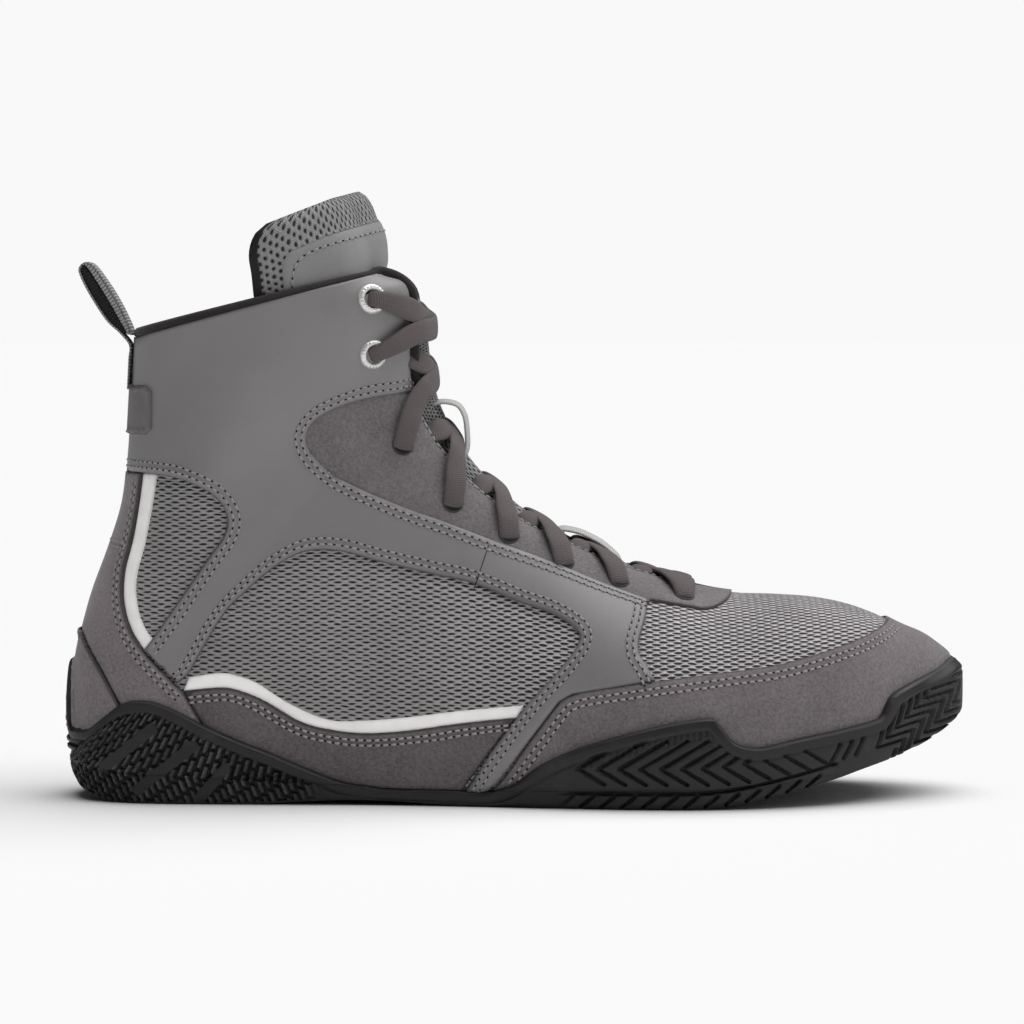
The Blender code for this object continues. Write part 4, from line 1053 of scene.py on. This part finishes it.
def pull_loop(outside, within):
    """Webbing folded into a loop behind the collar, its tail sewn down the back."""
    wide, lift = 12.6, PANEL + 0.9
    tail = [skin(u, 0, OUTER, lift) for u in (29.05, 29.3, 29.55, 29.8)]
    fold = [(x, MIDDLE, z) for x, z in LOOP_FOLD]
    path = rounded([*tail, *fold], 0.8, 20)
    ups = side_square(path)
    bm = bmesh.new()
    tube(bm, path + ups * 0.2, ups, oval(wide, 0.8, 24, 5))
    left, right = (rounded(half, 1.0, 20) for half in (fold[:5], fold[:4:-1]))
    right = resample(right, run_of(right)[-1] / (len(left) - 1))
    core = (left + right) / 2
    room = np.linalg.norm(left - right, axis=1)
    ups = side_square(core)
    away = (right - left) / np.maximum(room, 1e-6)[:, None]
    inner = [oval(wide - 0.6, max(gap * 0.68 - 0.3, 0.3), 24, 6) for gap in room]
    outer = [oval(wide, max(gap * 0.4, 0.4), 24, 5) for gap in room]
    # The loop's inner layer takes the second, near-black finish.
    tube(bm, core - away * (room * 0.16)[:, None], ups, inner, finish=1)
    tube(bm, core + away * (room * 0.32)[:, None], ups, outer)
    return make_piece("heel_loop", bm, [outside, within], ["heel_loop"], solid=True)


def lace_keepers(finish):
    """Webbing straps sewn to the middle of the tongue at both ends, over the lace."""
    for name, (low, high, full) in KEEPERS.items():
        path = []
        for share, lift in KEEPER_ARCH:
            u = low + (high - low) * share
            path.append(ridge(u, rise(u) + 1.3 + lift * full))
        path = rounded(path, 0.7, 20)
        bm = bmesh.new()
        tube(bm, path, side_square(path) + np.array([0, 0.11, 0]), oval(9.0, 1.1, 20, 4))
        make_piece(name, bm, [finish], [name], solid=True)


# Finishes

SIDE_GAIN = 1.7   # upright faces get less light than the floor
GRAIN_CELLS = 1500.0


def tone(red, green, blue):
    """A screen colour of an upright face, 0 to 255, as the shader reads it."""
    return tuple(SIDE_GAIN * ((part / 255 + 0.055) / 1.055) ** 2.4 for part in (red, green, blue))


class Nodes:
    """A short way to add nodes to a material or a group."""

    def __init__(self, tree):
        self.tree = tree

    def add(self, kind, links=(), out=0, **settings):
        node = self.tree.nodes.new(kind)
        for name, value in settings.items():
            setattr(node, name, value)
        for socket, value in dict(links).items():
            if isinstance(value, bpy.types.NodeSocket):
                self.tree.links.new(value, node.inputs[socket])
            else:
                node.inputs[socket].default_value = value
        return node.outputs[out]

    def math(self, operation, a, b=0.0, c=0.0):
        return self.add("ShaderNodeMath", {0: a, 1: b, 2: c}, operation=operation)

    def times(self, a, b, plus=None):
        """a times b, with something added where plus is given."""
        return self.math("MULTIPLY", a, b) if plus is None else self.math("MULTIPLY_ADD", a, b, plus)

    def rest(self, share):
        """What a share leaves of 1."""
        return self.math("SUBTRACT", 1.0, share)

    def off_middle(self, value):
        """Place in a repeat, from -0.5 to 0.5."""
        return self.math("SUBTRACT", self.math("FRACT", value), 0.5)

    def noise(self, vector, scale, detail=2.0):
        return self.add("ShaderNodeTexNoise", {"Vector": vector, "Scale": scale, "Detail": detail})

    def spread(self, value, low, high, start, end):
        """Soft step from start to end while the value runs from low to high."""
        links = {0: value, 1: low, 2: high, 3: start, 4: end}
        return self.add("ShaderNodeMapRange", links, interpolation_type="SMOOTHSTEP")

    def mix(self, share, a, b):
        return self.add("ShaderNodeMix", {0: share, 6: a, 7: b}, 2, data_type="RGBA")

    def axes(self, vector):
        return self.add("ShaderNodeSeparateXYZ", {0: vector}).node.outputs

    def kept(self, label):
        """A value that the mesh keeps at its corners."""
        return self.add("ShaderNodeAttribute", out=2, attribute_name=label)

    def cloth(self):
        """Run of the cloth's threads."""
        return self.add("ShaderNodeUVMap", uv_map="UVMap")

    def effect(self, tree, **links):
        """Outputs of a shared effect."""
        return self.add("ShaderNodeGroup", links, node_tree=tree).node.outputs


def new_group(name, outputs, colours=(), vectors=(), values=()):
    """An empty shared effect: its nodes, its inputs by name, and the step that ends it."""
    tree = bpy.data.node_groups.new(name, "ShaderNodeTree")
    for kind, labels in (("Color", colours), ("Vector", vectors), ("Float", values)):
        for label in labels:
            tree.interface.new_socket(label, in_out="INPUT", socket_type="NodeSocket" + kind)
    for label in outputs:
        kind = "Color" if label == "Colour" else "Float"
        tree.interface.new_socket(label, in_out="OUTPUT", socket_type="NodeSocket" + kind)
    put, get = tree.nodes.new("NodeGroupInput").outputs, tree.nodes.new("NodeGroupOutput").inputs

    def end(**made):
        for label, value in made.items():
            tree.links.new(value, get[label])
        return tree

    return Nodes(tree), put, end


def net_group():
    """Open net: staggered rows of long holes, in millimetres on the cloth."""
    net, put, end = new_group("net", ("Hole", "Height", "Thread"), vectors=["Cloth"],
                              values=("Along", "Across", "Long", "High"))
    wobble = net.add("ShaderNodeTexNoise", {"Vector": put["Cloth"], "Scale": 260.0, "Detail": 1.0}, 1)
    drift = net.add("ShaderNodeVectorMath", {0: wobble, 1: (0.5, 0.5, 0.5)}, operation="SUBTRACT")
    drift = net.add("ShaderNodeVectorMath", {0: drift, "Scale": 0.0009}, operation="SCALE")
    moved = net.add("ShaderNodeVectorMath", {0: put["Cloth"], 1: drift}, operation="ADD")
    x, y = (net.times(part, 1000.0) for part in net.axes(moved)[:2])
    row = net.math("DIVIDE", y, put["Across"])
    shift = net.times(net.math("FLOORED_MODULO", net.math("FLOOR", row), 2.0), 0.5)
    column = net.math("ADD", net.math("DIVIDE", x, put["Along"]), shift)
    across = net.times(net.off_middle(row), put["Across"])
    along = net.times(net.off_middle(column), put["Along"])
    ratio = [net.math("POWER", net.math("ABSOLUTE", net.math("DIVIDE", part, size)), 2.0)
             for part, size in ((along, put["Long"]), (across, put["High"]))]
    reach = net.math("ADD", *ratio)
    hole = net.spread(reach, 0.55, 1.45, 1.0, 0.0)
    ply = net.math("SINE", net.math("ADD", net.times(x, 14.0), net.times(y, 9.0)))
    thread = net.times(ply, 0.5, 0.5)
    crown = net.times(net.spread(reach, 0.9, 3.2, 0.35, 1.0), net.rest(hole))
    return end(Hole=hole, Height=net.times(thread, 0.12, crown), Thread=thread)


def grain_group():
    """Leather grain: small cells in a slow drift of tone."""
    hide, put, end = new_group("grain", ("Height", "Shade"), vectors=["Place"], values=["Cells"])
    cells = hide.add("ShaderNodeTexVoronoi", {"Vector": put["Place"], "Scale": put["Cells"]}, feature="F1")
    fine = hide.noise(put["Place"], 2600.0, 3.0)
    drift = hide.noise(put["Place"], 38.0, 3.0)
    return end(Height=hide.times(cells, 0.6, hide.times(fine, 0.4)),
               Shade=hide.times(fine, 0.25, hide.times(drift, 0.75)))


def nap_group():
    """Suede nap: short fibres, brushed lighter and darker in patches."""
    nap, put, end = new_group("nap", ("Height", "Shade"), vectors=["Place"])
    place = put["Place"]
    lying = nap.add("ShaderNodeMapping",
                    {"Vector": place, "Scale": (0.6, 1.0, 1.0), "Rotation": (0.0, 0.5, 0.0)})
    fibre, tuft = nap.noise(lying, 2100.0, 4.0), nap.noise(place, 950.0, 3.0)
    brushed = nap.noise(place, 55.0, 4.0)
    return end(Height=nap.times(tuft, 0.6, nap.times(fibre, 0.4)),
               Shade=nap.times(brushed, 0.24, nap.times(fibre, 0.4, nap.times(tuft, 0.36))))


def rib_group():
    """Ribbed weave of laces and webbing: slanting ribs that meet in the middle of the tape."""
    rib, put, end = new_group("rib", ("Height", "Shade"), vectors=["Cloth"], values=("Pitch", "Slant"))
    along, across, _ = rib.axes(put["Cloth"])
    fold = rib.math("PINGPONG", across, 0.0042)
    slant = rib.times(fold, put["Slant"], along)
    wave = rib.math("SINE", rib.times(rib.math("DIVIDE", slant, put["Pitch"]), 2 * math.pi))
    wale = rib.math("SINE", rib.times(across, 2 * math.pi / 0.0009))
    fluff = rib.noise(put["Cloth"], 3000.0, 2.0)
    return end(Height=rib.times(wave, 0.35, rib.times(wale, 0.15, rib.times(fluff, 0.5))),
               Shade=rib.times(wave, 0.32, rib.times(fluff, 0.5, 0.25)))


def wear_and_edge_shade_group():
    """Cut edges a little darker, partly their own dark and partly painted shade where the edge rolls down,
    with dust that lies in patches.
    """
    wear_and_edge_shade, put, end = new_group("wear_and_edge_shade", ["Colour"], ["Colour"], ["Place"], ("Edge", "Dark", "Dust"))
    # Darker toward the cut edge: partly the edge's own colour, partly painted shade of the rolled edge.
    cut = wear_and_edge_shade.times(wear_and_edge_shade.spread(put["Edge"], 0.15, 1.1, 1.0, 0.0), put["Dark"])
    darker = wear_and_edge_shade.mix(cut, put["Colour"], (0.012, 0.011, 0.011, 1.0))
    patch = wear_and_edge_shade.spread(wear_and_edge_shade.noise(put["Place"], 120.0, 5.0), 0.55, 0.8, 0.0, 1.0)
    return end(Colour=wear_and_edge_shade.mix(wear_and_edge_shade.times(patch, put["Dust"]), darker, (0.42, 0.41, 0.4, 1.0)))


def lug_group():
    """The small lugs that heel_lugs cuts, with a painted highlight on one side whose strength differs from
    lug to lug, and the gaps between them.
    """
    lug, put, end = new_group("lugs", ("Gap", "Lit", "Height"), vectors=["Place"], values=("Run", "Field"))
    z = lug.times(lug.axes(put["Place"])[2], 1000.0)
    column = lug.math("DIVIDE", lug.times(z, LUG_LEAN, put["Run"]), LUG_WIDE)
    number = lug.math("FLOOR", column)
    shift = lug.math("FRACT", lug.times(number, LUG_SHIFT))
    tall = lug.math("ADD", lug.math("DIVIDE", lug.times(put["Run"], LUG_RISE, z), LUG_TALL), shift)
    each = lug.times(lug.math("FLOOR", tall), 7.31, lug.times(number, 1.73))
    each = lug.add("ShaderNodeTexWhiteNoise", {"W": each}, noise_dimensions="1D")
    upright = lug.times(lug.math("ABSOLUTE", lug.off_middle(tall)), LUG_TALL)
    aside = lug.times(lug.off_middle(column), LUG_WIDE)
    fin = lug.times(lug.spread(lug.math("ABSOLUTE", aside), *LUG_SIDE, 1.0, 0.0),
                    lug.spread(upright, *LUG_END, 1.0, 0.0))
    gap = lug.times(lug.rest(fin), put["Field"])
    # Painted highlight on one side of each lug.
    lit = lug.times(lug.times(fin, lug.spread(aside, -0.7, 0.3, 1.0, 0.1)), put["Field"])
    return end(Gap=gap, Lit=lug.times(lit, lug.times(each, 0.8, 0.2)), Height=lug.rest(gap))


NET, GRAIN, NAP, RIB, WEAR_AND_EDGE_SHADE, LUGS = (
    make() for make in (net_group, grain_group, nap_group, rib_group, wear_and_edge_shade_group, lug_group))


def new_finish(name, roughness, **constants):
    """A material with its shader, the nodes to dress it, and places on the shoe."""
    finish = bpy.data.materials.new(name)
    finish.use_nodes = True
    shader = finish.node_tree.nodes["Principled BSDF"]
    shader.inputs["Roughness"].default_value = roughness
    for label, value in constants.items():
        shader.inputs[label.replace("_", " ")].default_value = value
    nodes = Nodes(finish.node_tree)
    return finish, shader, nodes, nodes.add("ShaderNodeTexCoord", out=3)


def dress(nodes, shader, colour, height=None, strength=0.5, depth=0.0003, rough=None):
    """Colour, bump and uneven gloss go to the shader."""
    nodes.tree.links.new(colour, shader.inputs["Base Color"])
    if height:
        bump = nodes.add("ShaderNodeBump", {"Strength": strength, "Distance": depth, "Height": height})
        nodes.tree.links.new(bump, shader.inputs["Normal"])
    if rough:
        nodes.tree.links.new(rough, shader.inputs["Roughness"])


def two_tone(nodes, shade, colour, span):
    """A colour that runs lighter and darker with the shade."""
    dark = (*(part * (1 - span) for part in colour), 1.0)
    light = (*(part * (1 + span) for part in colour), 1.0)
    return nodes.mix(nodes.spread(shade, 0.25, 0.75, 0.0, 1.0), dark, light)


def worn_and_edge_shaded(nodes, colour, place, dark, dust):
    """A colour with dark cut edges, partly their own colour and partly painted shade, and dust."""
    edge = nodes.kept("edge")
    return nodes.effect(WEAR_AND_EDGE_SHADE, Colour=colour, Edge=edge, Place=place, Dark=dark, Dust=dust)["Colour"]


def leather(name, colour):
    """Smooth leather with a fine grain."""
    finish, shader, nodes, place = new_finish(name, 0.5, Specular_IOR_Level=0.72)
    hide = nodes.effect(GRAIN, Place=place, Cells=GRAIN_CELLS)
    base = worn_and_edge_shaded(nodes, two_tone(nodes, hide["Shade"], colour, 0.07), place, dark=0.55, dust=0.05)
    rough = nodes.spread(hide["Shade"], 0.2, 0.8, 0.42, 0.52)
    dress(nodes, shader, base, hide["Height"], 0.22, 0.00015, rough)
    return finish


def suede(name, colour):
    """Brushed suede."""
    finish, shader, nodes, place = new_finish(name, 0.95, Specular_IOR_Level=0.15, Sheen_Weight=0.22,
                                              Sheen_Roughness=0.45)
    nap = nodes.effect(NAP, Place=place)
    base = worn_and_edge_shaded(nodes, two_tone(nodes, nap["Shade"], colour, 0.4), place, dark=0.7, dust=0.05)
    dress(nodes, shader, base, nap["Height"], 0.6, 0.0003)
    return finish


def net_cloth(name, mid, vamp, along, across):
    """Net of the upper, painted lighter toward the toe partly for the light on the vamp's top. mid and
    vamp: thread, pit, and half sizes of a hole in millimetres.
    """
    finish, shader, nodes, place = new_finish(name, 0.8, Specular_IOR_Level=0.25, Sheen_Weight=0.2,
                                              Sheen_Roughness=0.4)
    ahead = nodes.kept("vamp")
    # Lighter threads and pits toward the toe: partly the net's own change, partly painted light on the
    # upturned vamp.
    thread, pit = (nodes.mix(ahead, (*mid[k], 1.0), (*vamp[k], 1.0)) for k in (0, 1))
    long, high = (nodes.spread(ahead, 0.0, 1.0, mid[k], vamp[k]) for k in (2, 3))
    net = nodes.effect(NET, Cloth=nodes.cloth(), Along=along, Across=across, Long=long, High=high)
    drift = nodes.spread(nodes.noise(place, 45.0, 3.0), 0.3, 0.7, 0.0, 0.14)
    dull = nodes.times(net["Thread"], 0.16, drift)
    colour = nodes.mix(net["Hole"], nodes.mix(dull, thread, pit), pit)
    dress(nodes, shader, colour, net["Height"], 0.9, 0.0006)
    return finish


def tongue_face(name, panel, thread, pit, edge):
    """Face of the tongue: black turned edge, open net, and a smooth panel at the top."""
    finish, shader, nodes, place = new_finish(name, 0.6, Specular_IOR_Level=0.35)
    net = nodes.effect(NET, Cloth=nodes.cloth(), Along=2.1, Across=1.55, Long=0.5, High=0.4)
    hide = nodes.effect(GRAIN, Place=place, Cells=GRAIN_CELLS)
    turned = nodes.spread(nodes.kept("turned"), 2.6, 3.0, 1.0, 0.0)
    top = nodes.spread(nodes.kept("panel"), 0.4, 0.6, 0.0, 1.0)
    mesh = nodes.mix(net["Hole"], two_tone(nodes, net["Thread"], thread, 0.2), (*pit, 1.0))
    mesh = nodes.mix(turned, mesh, (*edge, 1.0))
    colour = nodes.mix(top, mesh, two_tone(nodes, hide["Shade"], panel, 0.12))
    weave = nodes.times(nodes.times(net["Height"], nodes.rest(turned)), nodes.rest(top))
    height = nodes.math("ADD", weave, nodes.times(hide["Height"], nodes.times(top, 0.15)))
    dress(nodes, shader, colour, height, 0.8, 0.0007)
    return finish


def tape(name, colour, pitch, slant=0.0, span=0.3, strength=0.8):
    """Woven lace or webbing."""
    finish, shader, nodes, _ = new_finish(name, 0.85, Specular_IOR_Level=0.2, Sheen_Weight=0.08)
    rib = nodes.effect(RIB, Cloth=nodes.cloth(), Pitch=pitch, Slant=slant)
    dress(nodes, shader, two_tone(nodes, rib["Shade"], colour, span), rib["Height"], strength, 0.0004)
    return finish


def soft_cloth(name, colour):
    """Knitted lining and padded edges."""
    finish, shader, nodes, place = new_finish(name, 0.92, Specular_IOR_Level=0.2, Sheen_Weight=0.1)
    nap = nodes.effect(NAP, Place=place)
    dress(nodes, shader, two_tone(nodes, nap["Shade"], colour, 0.35), nap["Height"], 0.5, 0.0003)
    return finish


def rubber(name, colour, rough=0.55):
    """Moulded rubber, with painted shade in its grooves and between the heel's lugs, and a painted
    highlight on one side of each heel lug.
    """
    finish, shader, nodes, place = new_finish(name, rough, Specular_IOR_Level=0.4)
    drift = nodes.noise(place, 60.0, 4.0)
    lug = nodes.effect(LUGS, Place=place, Run=nodes.kept("run"), Field=nodes.kept("lugs"))
    base = two_tone(nodes, drift, colour, 0.25)
    # Painted highlight: one side of each heel lug is mixed toward a lighter grey.
    base = nodes.mix(nodes.times(lug["Lit"], 0.9), base, (0.2, 0.19, 0.19, 1.0))
    # Painted shade: the grooves and the gaps between heel lugs are mixed toward near black.
    groove = nodes.spread(nodes.kept("sunk"), 0.75, 1.4, 0.0, 0.85)
    painted_recess_shade = nodes.math("MAXIMUM", groove, nodes.times(lug["Gap"], 0.9))
    base = worn_and_edge_shaded(nodes, nodes.mix(painted_recess_shade, base, (0.002, 0.002, 0.002, 1.0)), place, dark=0.2, dust=0.03)
    height = nodes.times(nodes.noise(place, 1400.0, 3.0), 0.05, lug["Height"])
    gloss = nodes.spread(drift, 0.3, 0.7, rough - 0.1, rough + 0.12)
    dress(nodes, shader, base, height, 0.6, 0.0007, gloss)
    return finish


def film(name, colour):
    """Printed white film that lets the net's bumps show."""
    finish, shader, nodes, place = new_finish(name, 0.6, Specular_IOR_Level=0.35)
    base = two_tone(nodes, nodes.noise(place, 300.0, 3.0), colour, 0.06)
    base = worn_and_edge_shaded(nodes, base, place, dark=0.25, dust=0.12)
    pebble = nodes.add("ShaderNodeTexVoronoi", {"Vector": place, "Scale": 420.0}, feature="SMOOTH_F1")
    dress(nodes, shader, base, pebble, 0.3, 0.0004)
    return finish


def metal(name):
    """Pale stamped metal."""
    finish, shader, nodes, place = new_finish(name, 0.28, Metallic=0.45)
    drift = nodes.noise(place, 700.0, 3.0)
    rough = nodes.spread(drift, 0.3, 0.7, 0.2, 0.4)
    dress(nodes, shader, two_tone(nodes, drift, (0.86, 0.85, 0.84), 0.1), rough=rough)
    return finish


def yarn(name, colour):
    """Sewing thread, and the painted shade of needle holes, punched holes and seams."""
    finish, shader, nodes, place = new_finish(name, 0.8, Specular_IOR_Level=0.2)
    ply = nodes.noise(place, 4000.0, 2.0)
    dress(nodes, shader, two_tone(nodes, ply, colour, 0.3), ply, 0.3, 0.0001)
    return finish


# The shoe

def shifted(line, by):
    """A side-view line moved square to itself, to its left."""
    points = np.asarray(line, float)
    way = unit(np.gradient(points, axis=0))
    return (points + by * np.stack([-way[:, 1], way[:, 0]], 1)).tolist()


def rolled_edge(corners, reach):
    """Turned edge of the heel patch, standing a little above it."""
    return 0.8 * (1 - smooth(1.2, 2.2, reach))


def badge_relief(corners, reach):
    """Raised rim round the badge's plain middle."""
    return 0.45 * (1 - smooth(1.0, 1.5, reach))


def throat_stitches(finishes):
    """One row of stitches along both edges of the throat."""
    u = np.linspace(11.2, 20.2, 90)
    bm = bmesh.new()
    for side in SIDES:
        v = 1 - 2.0 / np.linalg.norm(slopes(u, np.full(90, 0.97), side)[1], axis=1)
        thread_line(bm, skin(u, v, side, 0.85), normal_at(u, v, side))
    return make_piece("throat_stitches", bm, finishes, (), merge=False)


leather_grey = leather("leather_grey", tone(104, 102, 102))
tongue_finish = tongue_face("tongue_finish", tone(114, 113, 113), tone(118, 117, 117), tone(20, 19, 19),
                            tone(22, 21, 21))
suede_dark = suede("suede_dark", tone(93, 89, 91))
suede_guard = suede("suede_guard", tone(94, 89, 91))
suede_heel = suede("suede_heel", tone(104, 98, 100))
suede_band = suede("suede_band", tone(86, 81, 83))
net_grey = net_cloth("net_grey", (tone(144, 142, 142), tone(26, 25, 25), 1.22, 0.28),
                     (tone(182, 178, 179), tone(44, 41, 42), 1.45, 0.46), along=4.5, across=0.95)
lining_black = soft_cloth("lining_black", tone(32, 30, 30))
roll_black = soft_cloth("roll_black", tone(38, 35, 36))
footbed_foam = soft_cloth("footbed_foam", tone(46, 45, 46))
sole_rubber = rubber("sole_rubber", tone(28, 26, 27))
badge_rubber = rubber("badge_rubber", tone(92, 89, 90), rough=0.6)
white_film = film("white_film", tone(222, 220, 219))
lace_grey = tape("lace_grey", tone(78, 72, 73), pitch=0.0007, slant=0.35, span=0.08, strength=0.4)
webbing_grey = tape("webbing_grey", tone(126, 125, 125), pitch=0.0011, span=0.35)
keeper_webbing = tape("keeper_webbing", tone(150, 148, 147), pitch=0.0007, span=0.1, strength=0.3)
loop_inside_dark = tape("loop_inside_dark", tone(30, 29, 29), pitch=0.0011)
eyelet_metal = metal("eyelet_metal")
thread_dark = yarn("thread_dark", tone(128, 126, 126))
thread_light = yarn("thread_light", tone(134, 128, 129))
painted_hole_and_seam_shade = yarn("painted_hole_and_seam_shade", tone(26, 25, 25))
dark_sewing, light_sewing = [thread_dark, painted_hole_and_seam_shade], [thread_light, painted_hole_and_seam_shade]

# Feet of the suede pieces, tucked behind the sole's rim
below = [(x, z - 2.2) for x, z in SOLE_TOP]
guard_foot = [point for point in below if point[0] > -10]
heel_foot = [point for point in below if -124 < point[0] <= -98]
wedge_foot = [point for point in below if point[0] < -126]
arch_foot = [point for point in below if -98 <= point[0] < -14]
cage_front = [*GUARD_TOP[:5], *curve(CAGE_FRONT)[::-1]]
stay_edge = shifted(curve(PATCH_EDGE), -2.0)
strap_seam = resample(STRAP_SEAM, 1.0)

upper_wall([net_grey, lining_black])
footbed(footbed_foam)
outsole(sole_rubber)
tongue([tongue_finish, lining_black])
sewn("toe_mudguard", outline([*guard_foot, (160, 44), (160, 70), *curve(GUARD_TOP)[::-1]]), suede_guard,
     ["toe_mudguard"], high=1.0)
sewn("heel_counter", outline([*PATCH_WEDGE, *heel_foot, *curve(COUNTER_FRONT[:-1])[::-1], (-150, 105.5)]),
     suede_heel, ["heel_counter"], high=1.6)
sewn("heel_patch", outline([*PATCH_WEDGE[::-1], (-160, 42), *wedge_foot]), suede_heel,
     ["heel_patch"], high=1.9, relief=rolled_edge)
side_loop = outline([*arch_foot, *LEG_REAR[1::-1], *curve(BAND_TOP)[-2:0:-1], COUNTER_FRONT[-2]])
for name, side in (("side_band_lateral", OUTER), ("side_band_medial", INNER)):
    sewn(name, side_loop, suede_band, [name], high=0.9, sides=(side,))
sewn("eyestay", outline([*stay_edge, *curve(EYESTAY_FRONT)[1:], (60, 140), (-20, 140)]), suede_dark,
     ["eyestay"], high=0.85)
cage_loop = outline([(-150, 141.5), *curve(REAR_WINDOW), *STRAP_END, *curve(MAIN_WINDOW), *LEG_REAR[1:],
                     *cage_front, *curve(PATCH_EDGE)[::-1], (-20, 172), (-46, 168.8)])
sewn("ankle_cage", cage_loop, leather_grey, ["ankle_cage"], high=1.3)
for name, edges in (("side_stripe", [*curve(BAND_TOP), *curve(STRIPE_TOP)[::-1]]),
                    ("rear_stripe", [*curve(COUNTER_FRONT[:7])[::-1], *curve(REAR_STRIPE)])):
    sewn(name, outline(edges), white_film, (), high=STRIPE, rim=0.3)
sewn("heel_badge", outline(BADGE), badge_rubber, ["heel_badge"], high=2.2, rim=0.8, pitch=0.8,
     low=0.9, relief=badge_relief)
collar_roll(roll_black)
pull_loop(webbing_grey, loop_inside_dark)
hole_trim(eyelet_metal, suede_dark, painted_hole_and_seam_shade)
lace(lace_grey)
lace_keepers(keeper_webbing)
stitching("cage_stitches", [[*REAR_WINDOW[1:], STRAP_END[0]], [STRAP_END[1], *MAIN_WINDOW, *LEG_REAR[1:-1]],
                            CAGE_FRONT[::-1], PATCH_EDGE[::-1]], dark_sewing, lift=1.3)
stitching("guard_stitches", [GUARD_TOP[:0:-1]], light_sewing, lift=1.0, rows=(2.7, 4.7))
stitching("heel_stitches", [COUNTER_FRONT[:-1][::-1]], dark_sewing, lift=1.6, rows=(1.8, 3.5))
stitching("heel_tack", HEEL_TACK, light_sewing, lift=1.6, rows=(0,), pitch=1.7)
panel_stitches(dark_sewing)
throat_stitches(dark_sewing)
# A thin strip of painted shade along the strap's seam.
seam_loop = outline([*shifted(strap_seam, 0.2), *shifted(strap_seam, -0.2)[::-1]], 0.3)
sewn("strap_seam", seam_loop, painted_hole_and_seam_shade, (), high=1.36, rim=0.1, pitch=0.8, low=1.2,
     rings=(0.08,))
stitching("band_stitches", [BAND_TOP[::-1]], light_sewing, lift=0.9, rows=(2.2, 3.9))


# Studio

SKY, BACKDROP = 0.06, 0.945   # light from all round, and how bright the background looks
PAPER = (0.93, 0.93, 0.93, 1)

# Strength, spread and direction: a broad soft key overhead and a weak fill from the toe's side
LAMPS = {"key": (2.97, 70, (-0.28, -0.1, -1.0)), "fill": (0.4, 60, (-0.85, 0.25, -0.45))}
CAMERA, AIM, LENS = (-0.0008, -1.3, 0.150), (-0.0008, 0, 0.092), 140.5


def studio():
    """Pale floor without an edge, soft light, and the camera square to the shoe's outer side."""
    scene = bpy.context.scene
    scene.view_settings.view_transform = "Standard"
    floor_mesh = bpy.data.meshes.new("floor")
    bm = bmesh.new()
    bmesh.ops.create_grid(bm, x_segments=1, y_segments=1, size=60)
    bm.to_mesh(floor_mesh)
    bm.free()
    floor = bpy.data.objects.new("floor", floor_mesh)
    scene.collection.objects.link(floor)
    paper = bpy.data.materials.new("paper")
    paper.use_nodes = True
    shader = paper.node_tree.nodes["Principled BSDF"]
    for label, value in (("Base Color", PAPER), ("Roughness", 1.0), ("Specular IOR Level", 0.0)):
        shader.inputs[label].default_value = value
    floor_mesh.materials.append(paper)
    world = bpy.data.worlds.new("studio")
    world.use_nodes = True
    sky = Nodes(world.node_tree)
    ground = world.node_tree.nodes["Background"]
    seen = sky.add("ShaderNodeLightPath", out=0)
    ground.inputs["Color"].default_value = (1, 1, 1, 1)
    world.node_tree.links.new(sky.times(seen, BACKDROP - SKY, SKY), ground.inputs["Strength"])
    scene.world = world
    for name, (energy, spread, way) in LAMPS.items():
        light = bpy.data.lights.new(name, "SUN")
        light.energy = energy
        light.angle = math.radians(spread)
        lamp = bpy.data.objects.new(name, light)
        lamp.rotation_euler = Vector(way).to_track_quat("-Z", "Y").to_euler()
        scene.collection.objects.link(lamp)
    camera = bpy.data.objects.new("camera", bpy.data.cameras.new("camera"))
    camera.location = CAMERA
    camera.rotation_euler = (Vector(AIM) - camera.location).to_track_quat("-Z", "Y").to_euler()
    camera.data.lens = LENS
    camera.data.sensor_width = 36
    scene.collection.objects.link(camera)
    scene.camera = camera


studio()
